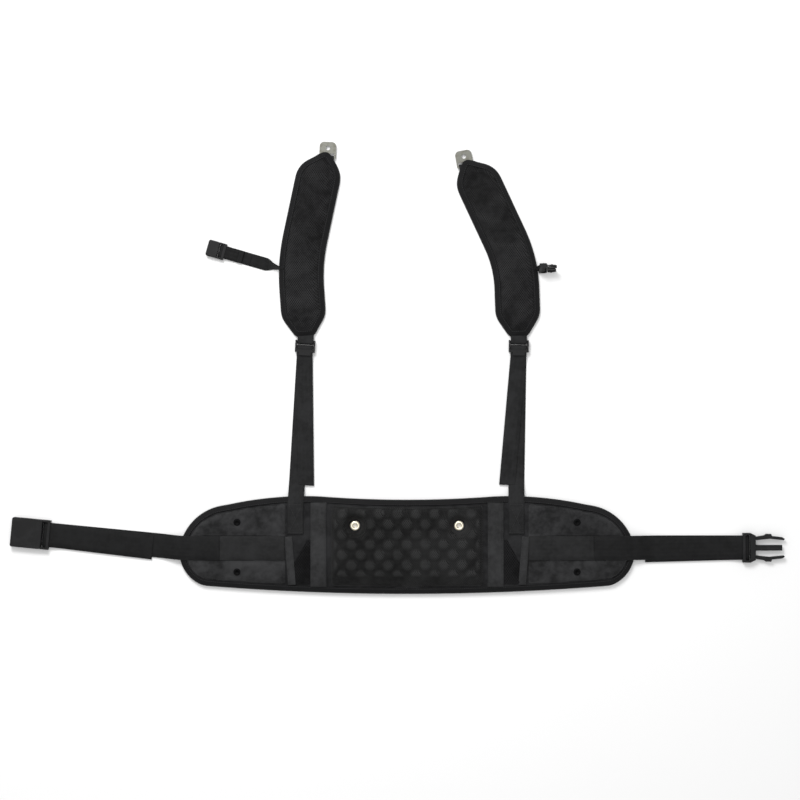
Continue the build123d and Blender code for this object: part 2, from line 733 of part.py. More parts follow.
def make_sternum_stub(place):
    """The right sternum stub with its plug, both turned on edge."""
    size, bar, at = sternum_hardware, sternum_bar_u["right"], sternum_line("right", place) * on_edge()
    keep = place * sternum_place("right") * block(fold_gap, reach, -reach, reach, -reach, reach)
    save("sternum_strap_right", (at * bar_loop(size, bar)) & keep)
    body, neck = plug_body(size, bar, sternum_prong)
    save("sternum_plug", (at * body) & keep)
    arm = spring_arm(size, neck, sternum_prong)
    save("sternum_arm_upper", at * arm)
    save("sternum_arm_lower", at * mirror(arm, about=Plane.XZ))


def make_shoulder(side):
    """One whole shoulder strap."""
    strap, size, at = shoulder_straps[side], shoulder_hardware, strap_place(side)
    bar, top = bar_u(side), belt_top + tape + fold_gap
    edge = peak_y - shoulder_fold_y + 3.0
    run = [(-6, top), (edge, top), (edge + shoulder_drop, lay), (bar - loop_leg - fold_gap / 2, lay)]
    keep = block(-reach, reach, sewn_high_y + fold_gap, reach, -reach, reach)
    run = (at * ribbon(run, size.strap, size.thick)) & keep
    tail = at * free_tail(size, bar, strap.tail_end_u, strap.tail_drift)
    save(f"shoulder_webbing_{side}", for_side(side, run), for_side(side, tail))
    save(f"lock_loop_{side}", for_side(side, at * bar_loop(size, bar)))
    save(f"ladder_lock_{side}", for_side(side, at * ladder_lock(size, bar)))
    place = pad_place(side)
    make_pad(side, place)
    if side == "left":
        make_sternum_long(place)
    else:
        make_sternum_stub(place)


make_belt()
make_wings()
for side in ("left", "right"):
    make_waist(side)
    make_shoulder(side)
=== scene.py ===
"""Padded harness for a pack frame: a hip belt and two shoulder straps, laid flat.

Padded parts are blown up by cloth simulation, webbing is swept along its path, and seams are
sewn with a Geometry Nodes tree. Everything takes its place from the frame's nodes and joints.
"""

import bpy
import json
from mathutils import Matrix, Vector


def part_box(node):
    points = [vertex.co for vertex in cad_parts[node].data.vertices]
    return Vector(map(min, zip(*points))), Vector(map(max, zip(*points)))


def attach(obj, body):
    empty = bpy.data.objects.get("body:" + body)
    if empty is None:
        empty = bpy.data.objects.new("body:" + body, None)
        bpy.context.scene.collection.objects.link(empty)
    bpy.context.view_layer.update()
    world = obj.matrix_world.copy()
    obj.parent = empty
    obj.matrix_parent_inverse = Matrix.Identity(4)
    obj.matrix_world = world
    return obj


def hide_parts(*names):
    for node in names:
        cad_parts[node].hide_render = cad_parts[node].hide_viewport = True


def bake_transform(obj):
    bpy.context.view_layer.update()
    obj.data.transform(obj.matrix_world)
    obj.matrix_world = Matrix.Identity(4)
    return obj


bl_info = {
    "name": "Pack-frame harness",
    "version": (1, 0, 0),
    "blender": (4, 5, 0),
    "location": "3D View > Sidebar > Harness",
    "description": "Makes a padded hip belt and shoulder straps round a packed frame",
    "category": "Add Mesh",
}

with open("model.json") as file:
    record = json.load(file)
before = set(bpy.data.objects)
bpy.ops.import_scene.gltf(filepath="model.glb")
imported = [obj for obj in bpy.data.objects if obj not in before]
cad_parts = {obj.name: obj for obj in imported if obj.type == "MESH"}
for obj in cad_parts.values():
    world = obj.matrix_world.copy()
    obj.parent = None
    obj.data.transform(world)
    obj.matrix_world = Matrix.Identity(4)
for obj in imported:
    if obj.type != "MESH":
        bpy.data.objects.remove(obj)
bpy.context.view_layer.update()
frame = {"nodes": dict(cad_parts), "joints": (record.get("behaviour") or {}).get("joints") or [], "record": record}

import json
import math

import bmesh
import bpy
import numpy as np
from bpy.props import FloatProperty, FloatVectorProperty, PointerProperty
from mathutils import Matrix, Vector
from mathutils.bvhtree import BVHTree

JOINTS = {joint["name"]: joint for joint in frame["joints"]}
NODES = frame["nodes"]
MM = 0.001
SIDES = ("left", "right")
UP = np.array([0.0, 0.0, 1.0])
CLOTH_TOP = 11 * MM  # height taken where no cloth lies under a point
GAP = 0.15 * MM  # between a webbing and what it lies on
NARROW = 25 * MM  # width of the side and shoulder webbings
STERNUM_WIDTH, STERNUM_THICK = 20 * MM, 1.35 * MM
TAPE_SEAM = 1.6 * MM  # of a tape's stitches from its inner edge
BARREL_HOLE, WELL_HOLE = 4.4 * MM, 10.6 * MM  # radii round a grommet: in the belt, in the lumbar pad
WELL_FLOOR, WELL_SLOPE = 8.2 * MM, 9 * MM  # radius of a well's floor, width of the slope round it
BAR_PAST_FOLD = 12 * MM  # from a buckle's fold to the bar that its webbing turns round


# ---------------------------------------------------------------- sizes and colours


def length(name, default_mm, description):
    """A length property, given in millimetres."""
    return FloatProperty(name=name, default=default_mm * MM, description=description, unit="LENGTH",
                         precision=4)


def colour(name, rgb, description):
    """A colour property, linear."""
    return FloatVectorProperty(name=name, default=rgb, size=3, min=0, max=1, subtype="COLOR",
                               description=description)


class HarnessSizes(bpy.types.PropertyGroup):
    """Sizes of the sewn work."""

    belt_rim: length("Belt rim", 7.0, "Height of the belt where its edge is bound")
    belt_crown: length("Belt crown", 12.0, "Height of the belt's cloth away from its edge")
    belt_slope: length("Belt slope", 20.0, "How far in from its edge the belt reaches full height")
    pad_rim: length("Pad rim", 5.6, "Height of a shoulder pad where its edge is bound")
    pad_crown: length("Pad crown", 11.4, "Height of a shoulder pad's mesh before it is blown up")
    pad_slope: length("Pad slope", 17.0, "How far in a shoulder pad reaches full height")
    tape_width: length("Tape width", 8.5, "How far the binding tape reaches in from the edge")
    tape_thick: length("Tape thickness", 0.7, "Thickness of the binding tape")
    lumbar_height: length("Lumbar height", 4.0, "How far the lumbar pad stands above the belt")
    panel_height: length("Panel height", 2.2, "How far a wing panel stands above the belt")
    pod_pitch_x: length("Pod pitch across", 28.8, "Distance between pods of one row")
    pod_pitch_y: length("Pod pitch along", 32.0, "Distance between every second row of pods")
    pod_radius: length("Pod radius", 10.0, "Radius of a raised pod")
    pod_height: length("Pod height", 2.6, "Height of a raised pod")
    webbing: length("Webbing", 1.5, "Thickness of the wide webbings")
    stitch_pitch: length("Stitch pitch", 3.4, "Distance between stitches")
    stitch_length: length("Stitch length", 2.6, "Length of one stitch")
    stitch_radius: length("Thread radius", 0.34, "Radius of the sewing thread")

    def belt_dome(self):
        """Rim, crown and slope of the belt."""
        return self.belt_rim, self.belt_crown, self.belt_slope

    def pad_dome(self):
        """Rim, crown and slope of a shoulder pad."""
        return self.pad_rim, self.pad_crown, self.pad_slope


class HarnessColours(bpy.types.PropertyGroup):
    """Colours of the cloths, plastics and metals."""

    cloth: colour("Pack cloth", (0.0125, 0.0126, 0.0133), "Belt's and wings' woven cloth")
    panel: colour("Wing cloth", (0.0215, 0.0216, 0.0225), "Quilted cloth on the wings")
    mesh: colour("Spacer mesh", (0.0165, 0.0165, 0.017), "Mesh of the shoulder pads")
    lumbar: colour("Lumbar mesh", (0.0205, 0.0207, 0.0208), "Mesh of the lumbar pad")
    # painted shade: this dark mesh colour stands in for the shade in the recessed channel beside each wing
    gusset: colour("Gusset mesh", (0.0075, 0.0075, 0.008), "Open mesh in the channel beside each wing")
    tape: colour("Binding tape", (0.0065, 0.0065, 0.007), "Grosgrain tape round every edge")
    webbing: colour("Sewn webbing", (0.0222, 0.0224, 0.0232), "Webbing sewn on the belt")
    strap: colour("Hanging webbing", (0.0068, 0.0069, 0.0072), "Waist, shoulder and sternum straps")
    thread: colour("Thread", (0.03, 0.03, 0.031), "Bonded sewing thread")
    lining: colour("Lining", (0.016, 0.016, 0.017), "Brushed lining of the belt and pads")
    plastic: colour("Moulded plastic", (0.007, 0.007, 0.0075), "Buckles and ladder locks")
    brass: colour("Brass", (0.97, 0.91, 0.75), "Frame grommets")
    zinc: colour("Passivated zinc", (0.155, 0.155, 0.138), "Frame tabs")
    floor: colour("Floor", (0.93, 0.93, 0.93), "The surface that the harness lies on")


def sewing():
    """The sizes that are set in the scene."""
    return bpy.context.scene.harness_sizes


# ---------------------------------------------------------------- node trees


class Value:
    """An output socket. Arithmetic on it adds Math nodes to its tree."""

    def __init__(self, tree, socket):
        self.tree, self.socket = tree, socket

    def math(self, operation, *others, clamp=False):
        node = self.tree.nodes.new("ShaderNodeMath")
        node.operation, node.use_clamp = operation, clamp
        for socket, value in zip(node.inputs, (self, *others)):
            plug(self.tree, socket, value)
        return Value(self.tree, node.outputs[0])

    def __add__(self, other):
        return self.math("ADD", other)

    __radd__ = __add__

    def __mul__(self, other):
        return self.math("MULTIPLY", other)

    __rmul__ = __mul__

    def __sub__(self, other):
        return self.math("SUBTRACT", other)

    def __rsub__(self, other):
        return (self * -1) + other

    def __truediv__(self, other):
        return self.math("DIVIDE", other)

    def sin(self):
        return self.math("SINE")

    def fract(self):
        return self.math("FRACT")

    def abs(self):
        return self.math("ABSOLUTE")

    def root(self):
        return self.math("SQRT")

    def least(self, other):
        return self.math("MINIMUM", other)

    def most(self, other):
        return self.math("MAXIMUM", other)

    def ramp(self, low, high):
        """0 at low, 1 at high, smooth between them."""
        node = self.tree.nodes.new("ShaderNodeMapRange")
        node.interpolation_type = "SMOOTHSTEP"
        for socket, value in zip(node.inputs, (self, low, high, 0.0, 1.0)):
            plug(self.tree, socket, value)
        return Value(self.tree, node.outputs[0])


def plug(tree, socket, value):
    """Links a Value to a socket, or sets the socket to a constant."""
    if isinstance(value, Value):
        tree.links.new(value.socket, socket)
    else:
        socket.default_value = value


def add_node(tree, kind, settings=None, inputs=None, output=0):
    """Adds a node, sets its settings, then its inputs by name or place, and returns one output."""
    node = tree.nodes.new(kind)
    for key, value in (settings or {}).items():
        setattr(node, key, value)
    for key, value in (inputs or {}).items():
        plug(tree, node.inputs[key], value)
    return Value(tree, node.outputs[output])


class Paint:
    """One material with a Principled shader, built node by node."""

    def __init__(self, name, **constants):
        self.material = bpy.data.materials.new(name)
        self.material.use_nodes = True
        self.tree = self.material.node_tree
        self.tree.nodes.clear()
        out = self.tree.nodes.new("ShaderNodeOutputMaterial")
        self.shader = self.tree.nodes.new("ShaderNodeBsdfPrincipled")
        self.tree.links.new(self.shader.outputs[0], out.inputs[0])
        for key, value in constants.items():
            self.shader.inputs[key.replace("_", " ")].default_value = value

    def node(self, kind, settings=None, inputs=None, output=0):
        return add_node(self.tree, kind, settings, inputs, output)

    def split(self, output):
        """X, Y and Z of one of the texture coordinates."""
        coordinates = self.node("ShaderNodeTexCoord", output=output)
        parts = self.tree.nodes.new("ShaderNodeSeparateXYZ")
        self.tree.links.new(coordinates.socket, parts.inputs[0])
        return [Value(self.tree, socket) for socket in parts.outputs]

    def noise(self, scale, detail=3.0, roughness=0.5):
        """Noise over the object, 0 to 1, with scale in repeats per metre."""
        place = self.node("ShaderNodeTexCoord", output="Object")
        inputs = {"Vector": place, "Scale": scale, "Detail": detail, "Roughness": roughness}
        return self.node("ShaderNodeTexNoise", inputs=inputs)

    def blend(self, factor, first, second):
        """A mix of two colours, each a constant or a Value."""
        node = self.tree.nodes.new("ShaderNodeMix")
        node.data_type = "RGBA"
        for place, value in ((0, factor), (6, first), (7, second)):
            value = value if isinstance(value, (Value, float)) else (*value, 1.0)
            plug(self.tree, node.inputs[place], value)
        return Value(self.tree, node.outputs[2])

    def finish(self, base, roughness, height=None, depth=0.0002):
        """Links the colour, the roughness and a bump whose height is depth metres."""
        plug(self.tree, self.shader.inputs["Base Color"], base)
        plug(self.tree, self.shader.inputs["Roughness"], roughness)
        if height is not None:
            inputs = {"Strength": 1.0, "Distance": depth, "Height": height}
            plug(self.tree, self.shader.inputs["Normal"], self.node("ShaderNodeBump", inputs=inputs))
        return self.material


def scaled(rgb, factor):
    """A colour made lighter or darker."""
    return tuple(min(1.0, channel * factor) for channel in rgb)


TURN = 2 * math.pi


# ---------------------------------------------------------------- materials


def weave_height(paint, pitch):
    """Plain weave over X and Y, sheared by Z so that upright sides get threads too."""
    x, y, z = paint.split("Object")
    across, along = x + z * 0.61, y + z * 0.83
    warp = (across * (TURN / pitch)).sin()
    weft = (along * (TURN / pitch)).sin()
    return warp * weft * 0.5 + 0.5


def dusty(paint, rgb, height, contrast, lint):
    """A cloth's colour: darker between its threads, paler where it is rubbed and dusty."""
    base = paint.blend(height, scaled(rgb, 1 - contrast), scaled(rgb, 1 + contrast))
    mottled = paint.noise(105.0, 4.0, 0.6).ramp(0.38, 0.62)
    base = paint.blend(mottled * 0.8, base, scaled(rgb, 0.38))
    patches = paint.noise(18.0, 5.0, 0.6).ramp(0.42, 0.66) * 0.7
    wear_and_sheen = paint.blend(patches, base, scaled(rgb, 2.1))
    specks = paint.noise(900.0, 2.0).ramp(0.66, 0.78) * lint
    return paint.blend(specks, wear_and_sheen, scaled(rgb, 4.0))


def woven_cloth(name, rgb, pitch, depth, lint=0.25):
    """Coated pack cloth."""
    paint = Paint(name, Sheen_Weight=0.06, Sheen_Roughness=0.5, Specular_IOR_Level=0.12)
    height = weave_height(paint, pitch)
    rough = paint.noise(60.0) * 0.15 + 0.72
    puckers = paint.noise(45.0, 4.0) * 0.5
    return paint.finish(dusty(paint, rgb, height, 0.3, lint), rough, height + puckers, depth)


def holes_of(paint, pitch_x, pitch_y, shift=0.0):
    """Nearness to a hole's edge over a staggered grid: 0 in a hole, 1 between holes."""
    x, y, z = paint.split("Object")
    across, along = (x + z * 0.6) / pitch_x + shift, (y + z * 0.8) / pitch_y + shift
    nearest = None
    for offset in (0.0, 0.5):
        dx = (across + offset).fract() - 0.5
        dy = (along + offset).fract() - 0.5
        away = (dx * dx + dy * dy).root()
        nearest = away if nearest is None else nearest.least(away)
    return nearest.ramp(0.16, 0.3)


def spacer_mesh(name, rgb, pitch, pods=False):
    """Knitted mesh with staggered round holes over a darker base; on raised pods, a painted highlight on the pod
    tops and painted shade between them.
    """
    paint = Paint(name, Sheen_Weight=0.06, Sheen_Roughness=0.45, Specular_IOR_Level=0.08)
    net = holes_of(paint, pitch, pitch * 1.35)
    strands = weave_height(paint, pitch * 0.36)
    height = net + strands * 0.18
    base = dusty(paint, rgb, strands, 0.2, 0.2)
    if pods:
        pod = paint.node("ShaderNodeAttribute", {"attribute_name": "pod"}, output="Fac")
        # painted shade between the pods and, on the next line, a painted highlight on the pod tops, both keyed to
        # the stored pod attribute
        painted_shade_between_pods = paint.blend(0.35, base, scaled(rgb, 0.1))
        base = paint.blend(pod * 0.8, painted_shade_between_pods, paint.blend(0.5, base, scaled(rgb, 2.6)))
    colour_ = paint.blend(net, scaled(rgb, 0.22), base)
    return paint.finish(colour_, net * -0.1 + 0.85, height, 0.0006)


def flat_webbing(name, rgb):
    """Nylon webbing: a herringbone of picks between lengthwise ribs. UV is in metres."""
    paint = Paint(name, Sheen_Weight=0.06, Sheen_Roughness=0.4, Specular_IOR_Level=0.14)
    along, across, _ = paint.split("UV")
    zigzag = ((across / 0.0064).fract() - 0.5).abs() * 0.0064
    picks = ((along + zigzag) * (TURN / 0.0021)).sin() * 0.5 + 0.5
    ribs = (across * (TURN / 0.0032)).sin().abs()
    height = picks * 0.6 + ribs * 0.5
    sheen = paint.noise(35.0, 4.0).ramp(0.35, 0.75)
    base = paint.blend(picks, scaled(rgb, 0.68), scaled(rgb, 1.38))
    soiled = paint.noise(130.0, 4.0, 0.6).ramp(0.38, 0.62)
    base = paint.blend(soiled * 0.6, base, scaled(rgb, 0.45))
    # painted sheen: paler patches where the sheen noise is high stand in for the webbing's shine
    wear_and_sheen = paint.blend(sheen * 0.5, base, scaled(rgb, 2.2))
    return paint.finish(wear_and_sheen, sheen * 0.14 + 0.56, height, 0.0003)


def grosgrain(name, rgb):
    """Ribbed binding tape. UV is in metres along and across the tape."""
    paint = Paint(name, Sheen_Weight=0.05, Sheen_Roughness=0.4, Specular_IOR_Level=0.14)
    along, across, _ = paint.split("UV")
    ribs = (along * (TURN / 0.0013)).sin() * 0.5 + 0.5
    edge = (across * (TURN / 0.0042)).sin() * 0.12
    worn = paint.noise(55.0, 4.0).ramp(0.5, 0.72)
    base = paint.blend(ribs, scaled(rgb, 0.6), scaled(rgb, 1.3))
    base = paint.blend(worn * 0.4, base, scaled(rgb, 2.2))
    return paint.finish(base, worn * 0.1 + 0.62, ribs + edge, 0.00025)


def brushed_lining(name, rgb):
    """Brushed knit: fine loops and a soft nap."""
    paint = Paint(name, Sheen_Weight=0.12, Sheen_Roughness=0.6, Specular_IOR_Level=0.1)
    loops = paint.noise(1500.0, 2.0)
    knit = weave_height(paint, 0.0016)
    return paint.finish(dusty(paint, rgb, knit, 0.2, 0.35), 0.92, loops + knit * 0.5, 0.0003)


def twisted_thread(name, rgb):
    """Bonded thread."""
    paint = Paint(name, Specular_IOR_Level=0.2)
    ply = paint.noise(2600.0, 1.0)
    return paint.finish(paint.blend(ply, scaled(rgb, 0.6), scaled(rgb, 1.5)), 0.5, ply, 0.0001)


def moulded_plastic(name, rgb):
    """Acetal with a spark-eroded face, a little shiny where it is handled; the paler colour there is partly wear
    and partly painted sheen.
    """
    paint = Paint(name, Specular_IOR_Level=0.22)
    grain = paint.noise(2200.0, 2.0)
    wear_and_sheen = paint.noise(70.0, 4.0).ramp(0.48, 0.68)
    # paler where handled: partly wear and partly painted sheen; the lower roughness there is the real shine
    base = paint.blend(wear_and_sheen * 0.5, scaled(rgb, 0.9), scaled(rgb, 1.9))
    return paint.finish(base, wear_and_sheen * -0.12 + 0.52, grain, 0.00008)


def metal(name, rgb, roughness, stain, stain_amount, scratch):
    """Metal with a tarnish that gathers in patches and fine scratches."""
    paint = Paint(name, Metallic=1.0)
    patches = paint.noise(160.0, 5.0, 0.65).ramp(0.45, 0.7)
    place = paint.node("ShaderNodeTexCoord", output="Object")
    stretched = paint.node("ShaderNodeMapping", inputs={"Vector": place, "Scale": (60.0, 2400.0, 60.0)})
    lines = paint.node("ShaderNodeTexNoise", inputs={"Vector": stretched, "Scale": 1.0, "Detail": 3.0})
    base = paint.blend(patches * stain_amount, rgb, stain)
    return paint.finish(base, patches * 0.2 + lines * scratch + roughness, lines, 0.00004)


def floor_paint(name, rgb):
    """Matt white surface with hardly any mottling."""
    paint = Paint(name, Specular_IOR_Level=0.1)
    return paint.finish(paint.blend(paint.noise(3.0), scaled(rgb, 0.995), rgb), 0.9)


MATERIALS = {}


def make_materials(shades):
    """Every finish, under the name of its slot in the record where it has one."""
    MATERIALS.update(
        shell=woven_cloth("pack_cloth", shades.cloth, 0.0013, 0.00028),
        wing_cloth=woven_cloth("wing_cloth", shades.panel, 0.0017, 0.0004, 0.4),
        pad_mesh=spacer_mesh("pad_mesh", shades.mesh, 0.0034),
        # pods=True gives the lumbar mesh a painted highlight on the pod tops and painted shade between them
        lumbar_mesh=spacer_mesh("lumbar_mesh", shades.lumbar, 0.0030, pods=True),
        # the channel mesh's dark colour is painted shade of the recess beside each wing
        gusset=spacer_mesh("gusset_mesh", shades.gusset, 0.0038),
        binding=grosgrain("binding_tape", shades.tape),
        webbing=flat_webbing("webbing", shades.webbing),
        band=flat_webbing("band_webbing", scaled(shades.webbing, 0.55)),
        strap=flat_webbing("hanging_webbing", shades.strap),
        shoulder_strap=flat_webbing("shoulder_webbing", scaled(shades.strap, 1.75)),
        lining=brushed_lining("lining", shades.lining),
        thread=twisted_thread("thread", shades.thread),
        buckle=moulded_plastic("moulded_plastic", shades.plastic),
        brass=metal("brass", shades.brass, 0.38, (0.66, 0.52, 0.3), 0.25, 0.08),
        tab_steel=metal("passivated_zinc", shades.zinc, 0.34, (0.13, 0.12, 0.09), 0.5, 0.15),
        eyelet=metal("black_oxide", (0.008, 0.008, 0.0085), 0.5, (0.02, 0.02, 0.02), 0.4, 0.15),
        floor=floor_paint("floor", shades.floor),
    )


# ---------------------------------------------------------------- outlines


def joint_point(name):
    return Vector(JOINTS[name]["pos_m"])


def joint_axis(name):
    return Vector(JOINTS[name]["axis"]).normalized()


def outwards(side):
    """1 on the right and -1 on the left: the way along X from the belt's middle."""
    return 1 if side == "right" else -1


def height_of(node):
    """How tall a node is."""
    low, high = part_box(node)
    return high.z - low.z


def top_loop(node):
    """The outer edge of a slab's top face, as an array of (x, y)."""
    mesh = bmesh.new()
    mesh.from_mesh(NODES[node].data)
    bmesh.ops.remove_doubles(mesh, verts=mesh.verts, dist=1e-6)
    top = max(vert.co.z for vert in mesh.verts)
    faces = {face for face in mesh.faces if all(top - vert.co.z < 1e-5 for vert in face.verts)}
    rim = [edge for edge in mesh.edges if sum(face in faces for face in edge.link_faces) == 1]
    ties = {}
    for edge in rim:
        for near, far in (edge.verts, reversed(edge.verts)):
            ties.setdefault(near.index, []).append(far.index)
    places = {vert.index: tuple(vert.co.xy) for vert in mesh.verts}
    mesh.free()
    loops = []
    while ties:
        start = next(iter(ties))
        loop, at = [start], start
        while ties.get(at):
            following = ties[at].pop()
            ties[following].remove(at)
            at = following
            loop.append(at)
        ties = {key: value for key, value in ties.items() if value}
        loops.append(np.array([places[index] for index in loop[:-1]]))
    return max(loops, key=lambda points: np.ptp(points[:, 0]) + np.ptp(points[:, 1]))


def closed(points):
    """A line with its first point again at its end."""
    return np.vstack([points, points[:1]])


def runs_of(line):
    """How far along a line each of its points is."""
    return np.concatenate([[0], np.cumsum(np.linalg.norm(np.diff(line, axis=0), axis=1))])


def unit(vectors):
    """The same directions, each of length 1."""
    return vectors / np.linalg.norm(vectors, axis=1)[:, None]


def even(points, step, ring=True):
    """The same line with points evenly spaced about step apart."""
    line = closed(points) if ring else np.asarray(points, float)
    runs = runs_of(line)
    count = max(3, int(round(runs[-1] / step)))
    at = np.linspace(0, runs[-1], count + 1)
    found = np.stack([np.interp(at, runs, line[:, axis]) for axis in range(line.shape[1])], axis=1)
    return found[:-1] if ring else found


def smooth(points, passes=2):
    """A closed line with its kinks eased."""
    for _ in range(passes):
        points = 0.25 * np.roll(points, 1, 0) + 0.5 * points + 0.25 * np.roll(points, -1, 0)
    return points


def counter_clockwise(points):
    x, y = points[:, 0], points[:, 1]
    area = (x * np.roll(y, -1) - np.roll(x, -1) * y).sum()
    return points if area > 0 else points[::-1]


def outward(loop):
    """Unit normals of a counter-clockwise closed line."""
    tangent = unit(np.roll(loop, -1, 0) - np.roll(loop, 1, 0))
    return np.stack([tangent[:, 1], -tangent[:, 0]], axis=1)


def pushed(loop, distance):
    """A closed line moved outwards."""
    return loop + outward(loop) * distance


def belt_loop():
    """The whole belt's cloth edge: the middle and both wings, without the cuts at the folds."""
    fold = joint_point("wing_fold_right").x
    found = []
    for node in ("belt_shell", "wing_shell_left", "wing_shell_right"):
        points = even(top_loop(node), 2 * MM)
        found.append(points[np.abs(np.abs(points[:, 0]) - fold) > 1.2 * MM])
    points = np.vstack(found)
    middle = points.mean(axis=0)
    points = points[np.argsort(np.arctan2(points[:, 1] - middle[1], points[:, 0] - middle[0]))]
    return smooth(even(points, 4 * MM), 3)


def distance_to(loop, x, y):
    """Distance of each (x, y) to a closed line."""
    line = even(loop, 1.5 * MM)
    found = np.empty(len(x))
    for start in range(0, len(x), 4000):
        part = slice(start, start + 4000)
        away = np.hypot(x[part, None] - line[None, :, 0], y[part, None] - line[None, :, 1])
        found[part] = away.min(axis=1)
    return found


def ease(values):
    """0 to 1, smooth at both ends."""
    t = np.clip(values, 0, 1)
    return t * t * (3 - 2 * t)


# ---------------------------------------------------------------- meshes


def coat(piece, *materials):
    """Gives a piece its materials."""
    piece.data.materials.clear()
    for material in materials:
        piece.data.materials.append(MATERIALS[material])


def smooth_faces(mesh):
    mesh.polygons.foreach_set("use_smooth", [True] * len(mesh.polygons))


def link(name, mesh, material=None):
    """A new object of a mesh, at the origin."""
    piece = bpy.data.objects.new(name, mesh)
    bpy.context.scene.collection.objects.link(piece)
    if material:
        coat(piece, material)
    smooth_faces(mesh)
    return piece


def mesh_of(name, points, faces, uvs=None):
    """A mesh from points and faces, with one (u, v) per face corner in metres."""
    mesh = bpy.data.meshes.new(name)
    mesh.from_pydata([tuple(point) for point in points], [], [tuple(face) for face in faces])
    if uvs is not None:
        layer = mesh.uv_layers.new(name="UVMap")
        layer.data.foreach_set("uv", np.asarray(uvs, np.float32).ravel())
    mesh.validate()
    return mesh


def faces_out(mesh):
    """Turns a closed mesh's faces outwards."""
    work = bmesh.new()
    work.from_mesh(mesh)
    bmesh.ops.recalc_face_normals(work, faces=work.faces)
    work.to_mesh(mesh)
    work.free()


def baked(piece):
    """The evaluated mesh of an object whose modifiers are then removed."""
    depsgraph = bpy.context.evaluated_depsgraph_get()
    mesh = bpy.data.meshes.new_from_object(piece.evaluated_get(depsgraph))
    piece.modifiers.clear()
    old = piece.data
    piece.data = mesh
    bpy.data.meshes.remove(old)
    return piece


def prism(name, loop, low, high):
    """A closed slab of an outline."""
    count = len(loop)
    points = [(*point, low) for point in loop] + [(*point, high) for point in loop]
    faces = [tuple(range(count))[::-1], tuple(range(count, 2 * count))]
    faces += [(i, (i + 1) % count, count + (i + 1) % count, count + i) for i in range(count)]
    return link(name, mesh_of(name, points, faces))


def places_of(piece):
    co = np.empty(len(piece.data.vertices) * 3, np.float32)
    piece.data.vertices.foreach_get("co", co)
    return co.reshape(-1, 3).astype(float)


def move_to(piece, co):
    piece.data.vertices.foreach_set("co", co.astype(np.float32).ravel())
    piece.data.update()


def remesh(piece, voxel):
    """Even quads over a closed mesh."""
    modifier = piece.modifiers.new("remesh", "REMESH")
    modifier.mode, modifier.voxel_size = "VOXEL", voxel
    return baked(piece)


def subdivide(piece, levels=1):
    modifier = piece.modifiers.new("subdivide", "SUBSURF")
    modifier.levels = modifier.render_levels = levels
    return baked(piece)


def blow_up(piece, held, pressure, cap, slack):
    """Cloth simulation: pressure inside, held vertices pinned, no point moving further than cap."""
    before = places_of(piece)
    group = piece.vertex_groups.new(name="held")
    for weight, chosen in ((1.0, held > 0.5), (0.35, (held > 0.05) & (held <= 0.5))):
        group.add([int(index) for index in np.flatnonzero(chosen)], weight, "REPLACE")
    modifier = piece.modifiers.new("cloth", "CLOTH")
    cloth = modifier.settings
    cloth.quality = 5
    cloth.mass = 0.25
    cloth.tension_stiffness = cloth.compression_stiffness = 12
    cloth.shear_stiffness = 6
    cloth.bending_stiffness = 0.6
    cloth.use_pressure, cloth.uniform_pressure_force = True, pressure
    cloth.shrink_min = -slack
    cloth.vertex_group_mass = "held"
    cloth.effector_weights.gravity = 0
    modifier.collision_settings.use_collision = False
    scene = bpy.context.scene
    last = 20
    modifier.point_cache.frame_start, modifier.point_cache.frame_end = 1, last
    for step in range(1, last + 1):
        scene.frame_set(step)
    baked(piece)
    scene.frame_set(1)
    moved = places_of(piece) - before
    size = np.linalg.norm(moved, axis=1)[:, None]
    move_to(piece, before + moved * np.minimum(1, cap / np.maximum(size, 1e-9)))
    return piece


def surface_of(*pieces):
    """A function giving the height of the highest of some pieces under (x, y)."""
    trees = []
    for piece in pieces:
        mesh = piece.data
        corners = [tuple(vert.co) for vert in mesh.vertices]
        trees.append(BVHTree.FromPolygons(corners, [tuple(poly.vertices) for poly in mesh.polygons]))

    def height(x, y, fallback=CLOTH_TOP):
        found = [tree.ray_cast(Vector((x, y, 0.2)), Vector((0, 0, -1)))[0] for tree in trees]
        heights = [hit.z for hit in found if hit is not None]
        return max(heights) if heights else fallback

    return height


# ---------------------------------------------------------------- padded parts


def dome_height(distance, rim, crown, slope):
    """Height of a padded part's top over its distance from the edge."""
    return rim + (crown - rim) * np.sin(0.5 * math.pi * np.clip(distance / slope, 0, 1)) ** 0.9


def padded_body(name, loop, dome, voxel, pressure, cap):
    """A padded part that lies on the surface: flat underneath and crowned on top."""
    edge, crown = pushed(loop, -0.6 * MM), dome[1]
    piece = remesh(prism(name, edge, 0.0, crown), voxel)
    co = places_of(piece)
    away = distance_to(edge, co[:, 0], co[:, 1])
    share = np.clip(co[:, 2] / crown, 0, 1)
    low = 1.4 * MM * (1 - ease(away / (8 * MM)))
    co[:, 2] = low + share * (dome_height(away, *dome) - low)
    move_to(piece, co)
    held = np.where(away < 8.5 * MM, 1.0, np.where(away < 12 * MM, 0.3, 0.0))
    held = np.where(co[:, 2] < 2.5 * MM, 1.0, held)
    blow_up(piece, held, pressure, cap, 0.03)
    subdivide(piece)
    co = places_of(piece)
    co[:, 2] = np.maximum(co[:, 2], 0.15 * MM)
    move_to(piece, co)
    return piece


def overlay(name, loop, base, rise, slope, voxel, pressure, cap):
    """A padded part sewn down round its edge on another: base gives the height it lies on."""
    height = 4 * MM
    piece = remesh(prism(name, loop, 0.0, height), voxel)
    co = places_of(piece)
    away = distance_to(loop, co[:, 0], co[:, 1])
    share = np.clip(co[:, 2] / height, 0, 1)
    floor = np.array([base(x, y) for x, y in co[:, :2]])
    sunk = 0.9 * MM
    top = 0.5 * MM + (rise - 0.5 * MM) * np.sin(0.5 * math.pi * np.clip(away / slope, 0, 1))
    co[:, 2] = floor - sunk + share * (top + sunk)
    move_to(piece, co)
    held = np.where((away < 2.5 * MM) | (share < 0.4), 1.0, 0.0)
    blow_up(piece, held, pressure, cap, 0.03)
    return subdivide(piece)


